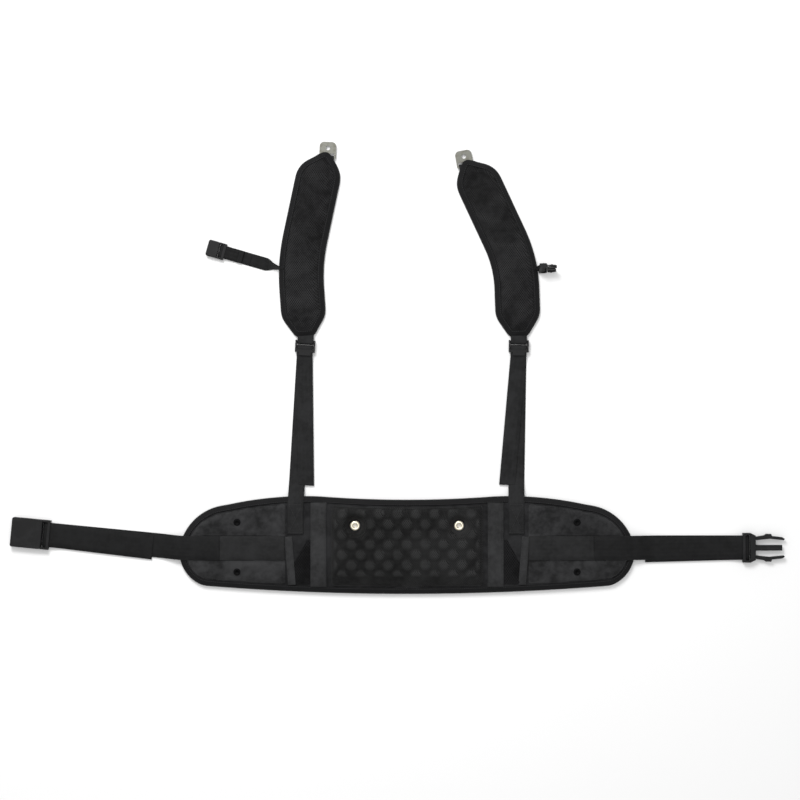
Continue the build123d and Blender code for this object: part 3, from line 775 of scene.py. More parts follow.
def halves(piece):
    """Cuts a piece in the middle and returns the left and the right half."""
    found = []
    for side in SIDES:
        mesh = bmesh.new()
        mesh.from_mesh(piece.data)
        bmesh.ops.bisect_plane(mesh, geom=[*mesh.verts, *mesh.edges, *mesh.faces], dist=1e-7,
                               plane_co=(0, 0, 0), plane_no=(-outwards(side), 0, 0), clear_outer=True)
        rim = [edge for edge in mesh.edges if edge.is_boundary]
        if rim:
            bmesh.ops.holes_fill(mesh, edges=rim, sides=0)
        made = bpy.data.meshes.new(f"{piece.name}_{side}")
        mesh.to_mesh(made)
        mesh.free()
        for material in piece.data.materials:
            made.materials.append(material)
        found.append(link(f"{piece.name}_{side}", made))
    bpy.data.objects.remove(piece)
    return found


def follow_wing(piece, side):
    """Bakes a piece's transform into its mesh; the span across the wing's fold is worked out, but the piece is not
    bent there.
    """
    fold, out = joint_point(f"wing_fold_{side}"), outwards(side)
    start = (fold.x - out * 11 * MM, fold.y, fold.z)
    end = (fold.x + out * 27 * MM, fold.y, fold.z)
    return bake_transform(piece)


def bore_through(piece, spots, radius):
    """Cuts round holes straight down through a piece."""
    cutter = bmesh.new()
    for x, y in spots:
        place = Matrix.Translation((x, y, 0.01))
        bmesh.ops.create_cone(cutter, cap_ends=True, segments=28, radius1=radius, radius2=radius,
                              depth=0.06, matrix=place)
    mesh = bpy.data.meshes.new("cutter")
    cutter.to_mesh(mesh)
    cutter.free()
    tool = link("cutter", mesh)
    modifier = piece.modifiers.new("bore", "BOOLEAN")
    modifier.operation, modifier.solver, modifier.object = "DIFFERENCE", "EXACT", tool
    baked(piece)
    bpy.data.objects.remove(tool)
    return piece


def tape(name, loop, dome):
    """Binding tape folded over the edge of a padded part, with its UVs in metres."""
    width, rim = sewing().tape_width, dome[0]
    count, normal = len(loop), outward(loop)
    inner = np.array([-width, -0.75 * width, -0.5 * width, -0.25 * width, -0.6 * MM])
    over = [(o, float(dome_height(-o, *dome)) + 0.35 * MM) for o in inner]
    nose = [(0.7 * MM, rim * 0.82), (1.1 * MM, rim * 0.5), (0.7 * MM, 1.2 * MM)]
    under = [(-2 * MM, 0.35 * MM), (-0.55 * width, 0.1 * MM), (-width, 0.1 * MM)]
    outer = np.array(over + nose + under)
    inward = unit(np.array([-0.35 * width, rim * 0.45]) - outer)
    profile = np.vstack([outer, (outer + inward * sewing().tape_thick)[::-1]])
    profile[:, 1] = np.maximum(profile[:, 1], 0.08 * MM)
    ring, along = runs_of(closed(profile)), runs_of(closed(loop))
    size = len(profile)
    points = [(loop[i, 0] + normal[i, 0] * o, loop[i, 1] + normal[i, 1] * o, z)
              for i in range(count) for o, z in profile]
    faces, uvs = [], []
    for i in range(count):
        j = (i + 1) % count
        for k in range(size):
            m = (k + 1) % size
            faces.append((i * size + k, j * size + k, j * size + m, i * size + m))
            uvs += [(along[i], ring[k]), (along[i + 1], ring[k])]
            uvs += [(along[i + 1], ring[k + 1]), (along[i], ring[k + 1])]
    mesh = mesh_of(name, points, faces, uvs)
    faces_out(mesh)
    return link(name, mesh, "binding")


def tape_seam(loop, dome):
    """The stitch line of a binding tape, as (x, y, z) points all the way round."""
    inset = sewing().tape_width - TAPE_SEAM
    z = float(dome_height(inset, *dome)) + 0.55 * MM
    return [(x, y, z) for x, y in pushed(loop, -inset)]


# ---------------------------------------------------------------- webbing


def strip(name, path, sides, ups, width, thick, start_u=0.0, material="webbing"):
    """Webbing swept along a path: sides and ups are unit vectors across and above it."""
    half = width / 2
    bevel = half - 0.5 * MM
    lower = [(-half, 0.28), (-bevel, 0.0), (-half * 0.5, -0.05), (0, -0.06), (half * 0.5, -0.05),
             (bevel, 0.0), (half, 0.28)]
    section = [*lower, *((across, 1 - rise) for across, rise in reversed(lower))]
    size, count = len(section), len(path)
    runs = runs_of(path) + start_u
    points = [path[i] + sides[i] * across + ups[i] * (thick * rise)
              for i in range(count) for across, rise in section]
    faces, uvs = [], []
    for i in range(count - 1):
        for k in range(size):
            m = (k + 1) % size
            faces.append((i * size + k, i * size + m, (i + 1) * size + m, (i + 1) * size + k))
            a, b = section[k][0], section[m][0]
            uvs += [(runs[i], a), (runs[i], b), (runs[i + 1], b), (runs[i + 1], a)]
    for i, order in ((0, range(size)), (count - 1, reversed(range(size)))):
        ring = [i * size + k for k in order]
        faces.append(ring)
        uvs += [(runs[i], section[index % size][0]) for index in ring]
    mesh = mesh_of(name, points, faces, uvs)
    faces_out(mesh)
    return link(name, mesh, material)


def frames(path, across):
    """Side and up vectors along a path that lies flat, from one general direction across it."""
    tangent = unit(np.gradient(path, axis=0))
    side = np.broadcast_to(np.asarray(across, float), tangent.shape)
    side = unit(side - (side * tangent).sum(1)[:, None] * tangent)
    up = np.cross(tangent, side)
    return side, np.where(up[:, 2:3] < 0, -up, up)


def loop_frames(path, across, sense=1):
    """Side and up vectors along a path that turns back; sense is the first up vector's along Z."""
    side = np.broadcast_to(np.array(across), path.shape)
    up = unit(np.cross(side, np.gradient(path, axis=0)))
    return side, up if up[0, 2] * sense >= 0 else -up


def rounded(points, step=2.0 * MM, passes=6):
    """An open path through points with its corners eased, evenly spaced."""
    path = even(points, step, ring=False)
    for _ in range(passes):
        path[1:-1] = 0.25 * path[:-2] + 0.5 * path[1:-1] + 0.25 * path[2:]
    return path


class Line:
    """A strap's own axes on the surface: u is how far along it, and turn is the sense of across."""

    def __init__(self, origin, along, turn=1):
        self.origin = Vector((origin.x, origin.y, 0))
        self.along = Vector((along.x, along.y, 0)).normalized()
        self.across = Vector((self.along.y, -self.along.x, 0)) * turn

    def at(self, u, z=0.0):
        place = self.origin + self.along * u
        return (place.x, place.y, z)

    def u_of(self, places):
        """How far along one or more places are."""
        return (np.asarray(places) - np.array(self.origin)) @ np.array(self.along)


# ---------------------------------------------------------------- stitches


def geometry_tree(name, sockets):
    """A new Geometry Nodes tree and a Value for each input; sockets are (name, kind)."""
    tree = bpy.data.node_groups.new(name, "GeometryNodeTree")
    tree.is_modifier = True
    for label, kind in sockets:
        tree.interface.new_socket(name=label, in_out="INPUT", socket_type=f"NodeSocket{kind}")
    tree.interface.new_socket(name="Result", in_out="OUTPUT", socket_type="NodeSocketGeometry")
    given = tree.nodes.new("NodeGroupInput")
    return tree, [Value(tree, socket) for socket in given.outputs[:len(sockets)]]


def end_tree(tree, geometry):
    """Makes a Value the tree's result."""
    plug(tree, tree.nodes.new("NodeGroupOutput").inputs[0], geometry)
    return tree


def run_tree(piece, tree, values):
    """Runs a tree on a piece, its inputs set by name, and keeps the result."""
    modifier = piece.modifiers.new(tree.name, "NODES")
    modifier.node_group = tree
    for item in tree.interface.items_tree:
        if item.item_type == "SOCKET" and item.in_out == "INPUT" and item.name in values:
            modifier[item.identifier] = values[item.name]
    return baked(piece)


def stitch_tree():
    """Geometry Nodes: one stitch at each step along every line of the input mesh."""
    tree, (lines, pitch, size, radius, thread) = geometry_tree("Stitches", (
        ("Lines", "Geometry"), ("Pitch", "Float"), ("Length", "Float"), ("Radius", "Float"),
        ("Thread", "Material")))
    curve = add_node(tree, "GeometryNodeMeshToCurve", inputs={0: lines})
    cut = tree.nodes.new("GeometryNodeCurveToPoints")
    cut.mode = "LENGTH"
    plug(tree, cut.inputs["Curve"], curve)
    plug(tree, cut.inputs["Length"], pitch)
    scale = add_node(tree, "ShaderNodeCombineXYZ", inputs={0: radius, 1: radius, 2: size * 0.5})
    bead = add_node(tree, "GeometryNodeMeshUVSphere", inputs={"Segments": 6, "Rings": 4, "Radius": 1.0})
    stitch = add_node(tree, "GeometryNodeTransform", inputs={"Geometry": bead, "Scale": scale})
    placed = add_node(tree, "GeometryNodeInstanceOnPoints", inputs={
        "Points": Value(tree, cut.outputs["Points"]), "Instance": stitch,
        "Rotation": Value(tree, cut.outputs["Rotation"])})
    real = add_node(tree, "GeometryNodeRealizeInstances", inputs={0: placed})
    return end_tree(tree, add_node(tree, "GeometryNodeSetMaterial", inputs={
        "Geometry": real, "Material": thread}))


def sew(name, lines):
    """Stitches along some lines, as one plain mesh."""
    tree, sizes = bpy.data.node_groups.get("Stitches") or stitch_tree(), sewing()
    points, edges = [], []
    for line in lines:
        start = len(points)
        points += [tuple(point) for point in line]
        edges += [(start + i, start + i + 1) for i in range(len(line) - 1)]
    mesh = bpy.data.meshes.new(name)
    mesh.from_pydata(points, edges, [])
    piece = run_tree(link(name, mesh), tree, {
        "Pitch": sizes.stitch_pitch, "Length": sizes.stitch_length, "Radius": sizes.stitch_radius,
        "Thread": MATERIALS["thread"]})
    smooth_faces(piece.data)
    return piece


def laid(line, height, above):
    """(x, y) points put on a surface, above it by a little."""
    return [(x, y, height(x, y) + above) for x, y in line]


# ---------------------------------------------------------------- operators

MADE = {}


class Make(bpy.types.Operator):
    """Base of the makers."""

    bl_options = {"REGISTER", "UNDO"}

    @property
    def sizes(self):
        return sewing()

    def execute(self, context):
        self.make()
        return {"FINISHED"}


class HARNESS_OT_materials(Make):
    """Makes every cloth, plastic and metal"""

    bl_idname = "harness.materials"
    bl_label = "Materials"

    def make(self):
        make_materials(bpy.context.scene.harness_colours)


class HARNESS_OT_belt(Make):
    """Makes the belt's padded body and its binding"""

    bl_idname = "harness.belt"
    bl_label = "Hip belt"

    def make(self):
        dome = self.sizes.belt_dome()
        loop = counter_clockwise(belt_loop())
        MADE["belt_loop"] = loop
        body = padded_body("belt_body", loop, dome, 4.5 * MM, 3.0, 1.2 * MM)
        press_wells(body)
        bore_through(body, grommet_spots(), BARREL_HOLE)
        two_cloths(body, "shell", "lining")
        MADE["belt_surface"] = surface_of(body)
        for half, side in zip(halves(body), SIDES):
            follow_wing(half, side)
            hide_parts(f"wing_lining_{side}", f"wing_foam_{side}", f"wing_shell_{side}")
            if side == "left":
                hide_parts("belt_lining", "belt_foam", "belt_shell", "belt_stiffener")
        for half, side in zip(halves(tape("belt_tape", loop, dome)), SIDES):
            follow_wing(half, side)
            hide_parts(f"wing_binding_{side}")
            if side == "left":
                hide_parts("belt_binding")


def grommet_spots():
    """Centres of the two frame grommets."""
    low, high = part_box("frame_grommets")
    reach, middle = (high.y - low.y) / 2, (high.y + low.y) / 2
    return [(low.x + reach, middle), (high.x - reach, middle)]


def press_wells(piece, under=0.0):
    """Presses the cloth down round each grommet; faces that look down end up lower by under."""
    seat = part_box("frame_grommets")[1].z - 1.3 * MM
    co = places_of(piece)
    down = np.array([vert.normal.z < 0 for vert in piece.data.vertices])
    for x, y in grommet_spots():
        away = np.hypot(co[:, 0] - x, co[:, 1] - y)
        share = ease((away - WELL_FLOOR) / WELL_SLOPE)
        limit = seat + share * 12 * MM - under * down
        co[:, 2] = np.where(away < WELL_FLOOR + WELL_SLOPE, np.minimum(co[:, 2], limit), co[:, 2])
    move_to(piece, co)


def two_cloths(piece, above, below):
    """Gives faces that look down the second cloth."""
    coat(piece, above, below)
    mesh = piece.data
    normals = np.empty(len(mesh.polygons) * 3, np.float32)
    mesh.polygons.foreach_get("normal", normals)
    centres = np.empty(len(mesh.polygons) * 3, np.float32)
    mesh.polygons.foreach_get("center", centres)
    down = (normals.reshape(-1, 3)[:, 2] < -0.5) & (centres.reshape(-1, 3)[:, 2] < 2.5 * MM)
    mesh.polygons.foreach_set("material_index", down.astype(np.int32))
    smooth_faces(mesh)


class HARNESS_OT_lumbar(Make):
    """Makes the lumbar pad with its pods"""

    bl_idname = "harness.lumbar"
    bl_label = "Lumbar pad"

    def make(self):
        sizes = self.sizes
        low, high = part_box("lumbar_pad")
        inner = pushed(MADE["belt_loop"], -sizes.tape_width - 1.5 * MM)
        inside = inner[(inner[:, 0] > low.x) & (inner[:, 0] < high.x)]
        upper, lower = inside[inside[:, 1] > low.y / 2], inside[inside[:, 1] < low.y / 2]
        upper, lower = upper[np.argsort(-upper[:, 0])], lower[np.argsort(lower[:, 0])]
        corners = [(high.x, upper[0, 1]), *upper, (low.x, upper[-1, 1]), (low.x, lower[0, 1]), *lower,
                   (high.x, lower[-1, 1])]
        loop = counter_clockwise(smooth(even(np.array(corners), 3 * MM), 3))
        pad = overlay("lumbar_mesh_pad", loop, MADE["belt_surface"], sizes.lumbar_height, 9 * MM,
                      3.2 * MM, 3.0, 1.5 * MM)
        raise_pods(pad, loop, sizes)
        bore_through(pad, grommet_spots(), WELL_HOLE)
        press_wells(pad, 1.1 * MM)
        coat(pad, "lumbar_mesh")
        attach(pad, "belt")
        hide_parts("lumbar_pad")
        seam = laid(closed(pushed(loop, -1.6 * MM)), surface_of(pad), 0.15 * MM)
        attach(sew("lumbar_stitches", [seam]), "belt")


def pod_tree():
    """Geometry Nodes: raises a staggered grid of round pods over a pad's top."""
    names = ("Pitch X", "Pitch Y", "Radius", "Height", "Low Y", "High Y", "Half X", "Grommet X",
             "Clear", "Top Z")
    tree, values = geometry_tree("Pods", [("Pad", "Geometry"), *((name, "Float") for name in names)])
    pad, pitch_x, pitch_y, radius, height, low_y, high_y, half_x, grommet_x, clear, top_z = values
    place = tree.nodes.new("GeometryNodeInputPosition")
    parts = tree.nodes.new("ShaderNodeSeparateXYZ")
    tree.links.new(place.outputs[0], parts.inputs[0])
    x, y, z = [Value(tree, socket) for socket in parts.outputs]
    bump = None
    for offset in (0.0, 0.5):
        dx = ((x / pitch_x + offset + 0.5).fract() - 0.5) * pitch_x
        dy = ((y / pitch_y + offset + 0.4).fract() - 0.5) * pitch_y
        away = (dx * dx + dy * dy).root()
        pod = 1 - away.ramp(radius * 0.45, radius)
        bump = pod if bump is None else bump.most(pod)
    beside = x.abs() - grommet_x
    grommet = (beside * beside + y * y).root().ramp(clear, clear + radius)
    inside = (1 - y.ramp(high_y - radius * 0.5, high_y)) * y.ramp(low_y, low_y + radius * 0.5)
    inside = inside * (1 - x.abs().ramp(half_x - radius * 0.6, half_x)) * z.ramp(top_z, top_z + 0.001)
    raised = bump * grommet * inside
    # the stored pod attribute drives the lumbar mesh's painted highlight on pod tops and painted shade between
    # pods
    marked = add_node(tree, "GeometryNodeStoreNamedAttribute", inputs={
        "Geometry": pad, "Name": "pod", "Value": raised})
    lift = add_node(tree, "ShaderNodeCombineXYZ", inputs={2: raised * height})
    return end_tree(tree, add_node(tree, "GeometryNodeSetPosition", inputs={
        "Geometry": marked, "Offset": lift}))


def raise_pods(pad, loop, sizes):
    """Runs the pod tree on a pad and keeps the result."""
    values = {
        "Pitch X": sizes.pod_pitch_x, "Pitch Y": sizes.pod_pitch_y, "Radius": sizes.pod_radius,
        "Height": sizes.pod_height, "Low Y": loop[:, 1].min() + 16 * MM, "High Y": loop[:, 1].max() - 4 * MM,
        "Half X": loop[:, 0].max() - 3 * MM, "Grommet X": grommet_spots()[1][0], "Clear": 15 * MM,
        "Top Z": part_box("lumbar_pad")[0].z + 1.5 * MM,
    }
    run_tree(pad, pod_tree(), {name: float(value) for name, value in values.items()})


class HARNESS_OT_panels(Make):
    """Makes the quilted panels on the wings and their black eyelets"""

    bl_idname = "harness.panels"
    bl_label = "Wing panels"

    def make(self):
        sizes = self.sizes
        inner = pushed(MADE["belt_loop"], -sizes.tape_width - 1.2 * MM)
        for side in SIDES:
            out = outwards(side)
            low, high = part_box(f"wing_panel_{side}")
            edge = (low.x if out > 0 else high.x) - out * 2.0 * MM
            part = inner[(inner[:, 0] - edge) * out > 0]
            middle = part.mean(axis=0)
            angle = np.arctan2(part[:, 1] - middle[1], (part[:, 0] - middle[0]) * out)
            part = part[np.argsort(angle)]
            corners = np.vstack([[(edge, part[0, 1])], part, [(edge, part[-1, 1])]])
            loop = counter_clockwise(smooth(even(corners, 3 * MM), 2))
            panel = overlay(f"wing_quilt_{side}", loop, MADE["belt_surface"], sizes.panel_height, 7 * MM,
                            3.4 * MM, 2.0, 1.0 * MM)
            quilt(panel, side)
            coat(panel, "wing_cloth")
            follow_wing(panel, side)
            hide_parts(f"wing_panel_{side}")
            height = MADE[f"panel_surface_{side}"] = surface_of(panel)
            seam = laid(closed(pushed(loop, -1.4 * MM)), height, 0.12 * MM)
            follow_wing(sew(f"wing_stitches_{side}", [seam]), side)
            self.eyelets(side)
            self.gusset(side, out, inner)

    def gusset(self, side, out, inner):
        """A dark open mesh laid in the channel beside a wing as painted shade of the recess there, and the slanted
        welt along it.
        """
        strip_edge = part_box("side_webbings")[1].x
        fold = abs(joint_point(f"wing_fold_{side}").x)
        bottom = inner[np.abs(inner[:, 0] - out * 0.5 * (strip_edge + fold)) < 4 * MM][:, 1].min()
        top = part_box(f"wing_band_{side}")[0].y + 33 * MM
        corners = [(strip_edge - 1 * MM, top), (strip_edge + 6 * MM, top), (fold - 9 * MM, bottom + 30 * MM),
                   (fold - 8 * MM, bottom), (strip_edge - 1 * MM, bottom)]
        loop = counter_clockwise(even(np.array([(x * out, y) for x, y in corners]), 3 * MM))
        # the dark mesh is painted shade of the recessed channel beside the wing panel
        net = overlay(f"gusset_mesh_{side}", loop, MADE["belt_surface"], 0.55 * MM, 2 * MM, 2.4 * MM,
                      1.0, 0.4 * MM)
        coat(net, "gusset")
        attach(net, "belt")
        belt, panel = MADE["belt_surface"], MADE[f"panel_surface_{side}"]
        ys = np.linspace(top + 4 * MM, bottom + 1 * MM, 46)
        share = (ys - ys[-1]) / (ys[0] - ys[-1])
        xs = out * (fold - 3.5 * MM - 5.5 * MM * (1 - share))
        path = np.array([(x, y, max(belt(x, y), panel(x, y, 0.0)) + 0.1 * MM) for x, y in zip(xs, ys)])
        path[:, 2] = softened(path[:, 2], 12)
        welt = strip(f"wing_welt_{side}", path, *frames(path, (1, 0, 0)), 12 * MM, 1.5 * MM)
        follow_wing(welt, side)
        lines = [[(x + offset, y, z + 1.65 * MM) for x, y, z in path[1:-1]]
                 for offset in (-4.4 * MM, 4.4 * MM)]
        follow_wing(sew(f"welt_stitches_{side}", lines), side)

    def eyelets(self, side):
        """Four black eyelets, turned to a rolled rim."""
        low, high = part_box(f"wing_eyelets_{side}")
        radius, x = (high.x - low.x) / 2, (high.x + low.x) / 2
        rim = [(0.02, -1.6), (0.02, 0.12), (0.43, 0.1), (0.5, 0.75), (0.62, 1.0), (0.8, 0.85),
               (0.95, 0.4), (1.0, -0.2), (0.97, -1.6)]
        parts = []
        for y in (low.y + radius, high.y - radius):
            base = MADE[f"panel_surface_{side}"](x, y) + 0.1 * MM
            parts.append(turned([(radius * r, base + z * MM) for r, z in rim], (x, y)))
        piece = link(f"eyelets_{side}", joined_mesh(f"eyelets_{side}", parts), "eyelet")
        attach(piece, f"wing_{side}")
        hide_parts(f"wing_eyelets_{side}")


def quilt(panel, side):
    """Presses the channels beside the band into a wing panel, and flattens what the band lies on."""
    low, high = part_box(f"wing_band_{side}")
    co = places_of(panel)
    top = np.array([MADE["belt_surface"](x, y) for x, y in co[:, :2]])
    lifted = co[:, 2] > top + 0.3 * MM
    for offset in (low.y - 3 * MM, high.y + 3 * MM):
        near = np.exp(-((co[:, 1] - offset) / (2.2 * MM)) ** 2)
        co[:, 2] = np.where(lifted, co[:, 2] - 0.8 * MM * near, co[:, 2])
    under = (co[:, 1] > low.y - MM) & (co[:, 1] < high.y + MM)
    co[:, 2] = np.where(lifted & under, np.minimum(co[:, 2], top + 1.6 * MM), co[:, 2])
    move_to(panel, co)


def turned(profile, centre, segments=36):
    """Points and faces of a closed ring turned from a (radius, z) profile about a centre."""
    size = len(profile)
    points, faces = [], []
    for i in range(segments):
        angle = TURN * i / segments
        points += [(centre[0] + r * math.cos(angle), centre[1] + r * math.sin(angle), z) for r, z in profile]
    for i in range(segments):
        j = (i + 1) % segments
        faces += [(i * size + k, j * size + k, j * size + (k + 1) % size, i * size + (k + 1) % size)
                  for k in range(size)]
    return points, faces


def joined_mesh(name, parts):
    """One mesh from several sets of points and faces, faces outward."""
    points, faces = [], []
    for some_points, some_faces in parts:
        start = len(points)
        points += some_points
        faces += [tuple(index + start for index in face) for face in some_faces]
    mesh = mesh_of(name, points, faces)
    faces_out(mesh)
    return mesh


class HARNESS_OT_grommets(Make):
    """Makes the brass frame grommets and their washers"""

    bl_idname = "harness.grommets"
    bl_label = "Frame grommets"

    def make(self):
        low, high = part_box("frame_grommets")
        radius = (high.y - low.y) / 2
        mounts = {mount["name"]: mount for mount in frame["record"]["mounts"]}
        bore = mounts["grommet_bore_left"]["dims"]["r_mm"] * MM
        neck, top = bore + 0.8 * MM, high.z
        rim = [(bore, 0.3 * MM), (bore, top - 0.9 * MM), (bore + 0.25 * MM, top - 0.2 * MM),
               (bore + 1.0 * MM, top + 0.25 * MM), (bore + 2.0 * MM, top + 0.2 * MM),
               (radius - 0.9 * MM, top - 0.2 * MM), (radius, top - 0.9 * MM),
               (radius - 0.3 * MM, top - 1.3 * MM), (neck, top - 1.2 * MM), (neck, 0.3 * MM)]
        inside = neck + 0.05 * MM
        washer = [(inside, 0.05 * MM), (radius, 0.05 * MM), (radius, 0.5 * MM), (inside, 0.8 * MM)]
        rims = [turned(rim, spot, 64) for spot in grommet_spots()]
        rings = [turned(washer, spot, 64) for spot in grommet_spots()]
        rows = (("grommets", rims, "frame_grommets"), ("washers", rings, "grommet_washers"))
        for name, parts, node in rows:
            piece = link(name, joined_mesh(name, parts), "brass")
            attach(piece, "belt")
            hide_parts(node)


class HARNESS_OT_pads(Make):
    """Makes the two shoulder pads and their binding"""

    bl_idname = "harness.pads"
    bl_label = "Shoulder pads"

    def make(self):
        dome = self.sizes.pad_dome()
        for side in SIDES:
            loop = counter_clockwise(smooth(even(top_loop(f"pad_shell_{side}"), 3 * MM), 2))
            loop = pushed(loop, 0.6 * MM)
            body = padded_body(f"pad_body_{side}", loop, dome, 3.6 * MM, 4.5, 2.0 * MM)
            two_cloths(body, "pad_mesh", "lining")
            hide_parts(f"pad_lining_{side}", f"pad_foam_{side}", f"pad_shell_{side}")
            binding = tape(f"pad_tape_{side}", loop, dome)
            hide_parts(f"pad_binding_{side}")
            thread = sew(f"pad_stitches_{side}", [closed(tape_seam(loop, dome))])
            for piece in (body, binding, thread):
                clear_tab(piece, side)
                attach(piece, f"pad_{side}")


def clear_tab(piece, side):
    """Lifts a pad's tip over the frame tab and the loop that lie under it."""
    pin, axis = joint_point(f"frame_tab_swing_{side}"), joint_axis(f"frame_tab_swing_{side}")
    low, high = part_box(f"frame_tab_{side}")
    loop_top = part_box(f"pad_upper_loop_{side}")[1].z
    across, out = np.array([axis.x, axis.y]), np.array([-axis.y, axis.x])
    middle = (low + high) / 2 - pin
    if out @ np.array([middle.x, middle.y]) < 0:
        out = -out
    co = places_of(piece)
    away = co[:, :2] - np.array([pin.x, pin.y])
    u, v = away @ out, np.abs(away @ across)
    half_width, behind, fade, squash = 14.2 * MM, 9 * MM, 6 * MM, 0.58
    outside = np.maximum(v - half_width, -behind - u)
    share = 1 - ease(outside / fade)
    plate, loop = high.z + 0.45 * MM, loop_top + 0.3 * MM
    under = plate + (loop - plate) * (1 - ease((u - 3 * MM) / (3 * MM)))
    co[:, 2] += share * (under - squash * co[:, 2])
    move_to(piece, co)


class HARNESS_OT_belt_webbing(Make):
    """Makes the webbing that is sewn on the belt and the waist straps"""

    bl_idname = "harness.belt_webbing"
    bl_label = "Belt webbing"

    def make(self):
        self.side_strips()
        seam = tape_seam(MADE["belt_loop"], self.sizes.belt_dome())
        for side in SIDES:
            self.waist(side)
        for side in SIDES:
            runs, run = [], []
            for x, y, z in seam + seam:
                if x * outwards(side) >= 0:
                    run.append((x, y, z))
                elif run:
                    runs.append(run)
                    run = []
            follow_wing(sew(f"belt_stitches_{side}", [max(runs, key=len)]), side)

    def side_strips(self):
        """The two upright webbings beside the lumbar pad."""
        low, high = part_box("side_webbings")
        thick, lines = self.sizes.webbing, []
        for side, x in zip(SIDES, (low.x + NARROW / 2, high.x - NARROW / 2)):
            ys = np.linspace(low.y - 1 * MM, high.y + 1 * MM, 60)
            path = np.array([(x, y, MADE["belt_surface"](x, y) + 0.2 * MM) for y in ys])
            path[2:-2, 2] = np.convolve(path[:, 2], np.ones(5) / 5, mode="valid")
            piece = strip(f"side_webbing_{side}", path, *frames(path, (1, 0, 0)), NARROW, thick)
            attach(piece, "belt")
            if side == "right":
                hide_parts("side_webbings")
            for offset in (-NARROW / 2 + 2.2 * MM, NARROW / 2 - 2.2 * MM):
                lines.append([(px + offset, py, pz + thick + 0.15 * MM) for px, py, pz in path[1:-1]])
        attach(sew("side_stitches", lines), "belt")

    def waist(self, side):
        """One waist strap: the band sewn along the wing, the strap, its loop and its tail."""
        out, thick = outwards(side), self.sizes.webbing
        low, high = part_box(f"wing_band_{side}")
        width, middle = high.y - low.y, (high.y + low.y) / 2
        inner, outer = (low.x, high.x) if out > 0 else (high.x, low.x)
        split = inner + (outer - inner) * 0.62
        buckle = "waist_socket" if side == "left" else "waist_plug"
        root, fold = joint_point(f"waist_strap_fold_{side}"), joint_point(f"{buckle}_fold")
        line = Line(root, fold - root, -out)
        fold_u = line.u_of(fold)
        panel = MADE[f"panel_surface_{side}"]

        def on_wing(x):
            beyond = belt_height_at(x, middle)
            return x, middle, max(panel(x, middle, beyond), beyond) + GAP

        path = np.array([on_wing(x) for x in np.linspace(inner, split, 40)])
        path[:, 2] = softened(path[:, 2])
        band = strip(f"waist_band_{side}", path, *frames(path, (0, 1, 0)), width, thick, material="band")
        follow_wing(band, side)
        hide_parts(f"wing_band_{side}")

        strap, start_u = f"waist_strap_{side}", abs(split - inner)
        on_edge = [on_wing(x) for x in np.linspace(split, root.x - out * 1 * MM, 24)]
        on_edge[0] = tuple(path[-1])
        drop = [line.at(u * MM, z * MM) for u, z in ((7, 8.4), (16, 5.0), (28, 2.4), (42, 0.9), (58, 0.25))]
        half_u, overlap = 0.5 * fold_u + 20 * MM, 3 * MM
        rest = [line.at(u, GAP) for u in np.linspace(70 * MM, half_u, 10)]
        whole = rounded([*on_edge, *drop, *rest], 2.5 * MM, 10)
        first = strip(f"waist_strap_root_{side}", whole, *frames(whole, (0, 1, 0)), width, thick, start_u,
                      "strap")
        root.x - out * 3 * MM
        root.x + out * 14 * MM
        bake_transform(first)

        loop = doubled_path(line, half_u - overlap, fold_u, height_of(f"waist_loop_{side}"), thick,
                            tail_end(strap, line))
        sides, ups = loop_frames(loop, line.across)
        loop = swung(loop, line, fold_u, -4.0 * MM)
        end_u = start_u + runs_of(whole)[-1] - overlap
        second = strip(f"waist_strap_loop_{side}", loop, sides, ups, width, thick, end_u, "strap")
        line.at(fold_u - 5 * MM)
        line.at(fold_u + 5 * MM)
        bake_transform(second)
        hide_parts(strap, f"waist_loop_{side}")


def softened(values, passes=6):
    """Heights along a path, eased."""
    values = values.copy()
    for _ in range(passes):
        values[1:-1] = 0.25 * values[:-2] + 0.5 * values[1:-1] + 0.25 * values[2:]
    return values


def belt_height_at(x, y):
    """Height of the bound belt under (x, y), tape and all."""
    away = distance_to(MADE["belt_loop"], np.array([x]), np.array([y]))[0]
    return float(dome_height(away, *sewing().belt_dome())) + 0.5 * MM


def tail_end(node, line):
    """How far along a strap the far end of its doubled-back tail is."""
    co = places_of(NODES[node])
    u, z = line.u_of(co), co[:, 2]
    on_top = (z > 1.75 * MM) & (z < 3.6 * MM) & (u > 0.09 * np.ptp(u))
    return float(u[on_top if on_top.any() else z > 3.2 * MM].min())


def doubled_path(line, start_u, fold_u, loop_height, thick, end_u):
    """Webbing that runs in under a bar, turns round it and lies back on itself.

    The path is the webbing's underside on the way in, so it is the upper side on the way back.
    """
    bar_u = fold_u + BAR_PAST_FOLD
    radius = (loop_height - 0.2 * MM) / 2
    centre = GAP + radius
    points = [(u, 0.11 * MM) for u in np.linspace(start_u, bar_u - 1 * MM, 40)]
    points += [(bar_u + (radius + 0.4 * MM) * math.sin(a), centre - radius * math.cos(a))
               for a in np.linspace(0.15, math.pi - 0.15, 15)]
    top, rest = centre + radius, GAP + 2 * thick + 0.25 * MM
    points += [(bar_u - 3 * MM, top), (bar_u - 7 * MM, top), (bar_u - 13 * MM, top - 0.3 * (top - rest)),
               (bar_u - 22 * MM, rest + 0.25 * (top - rest)), (bar_u - 31 * MM, rest)]
    points += [(u, rest) for u in np.linspace(bar_u - 38 * MM, end_u, 50)]
    return rounded([line.at(u, z) for u, z in points], 1.6 * MM, 3)


def swung(path, line, fold_u, offset):
    """Moves the tail's far end across by offset, in proportion to its distance from the fold."""
    path, u = path.copy(), line.u_of(path)
    turn = int(np.argmax(u))
    back = np.clip((fold_u - u[turn:]) / max(fold_u - u[-1], 1e-6), 0, 1)
    path[turn:] += np.outer(back * offset, np.array(line.across))
    return path


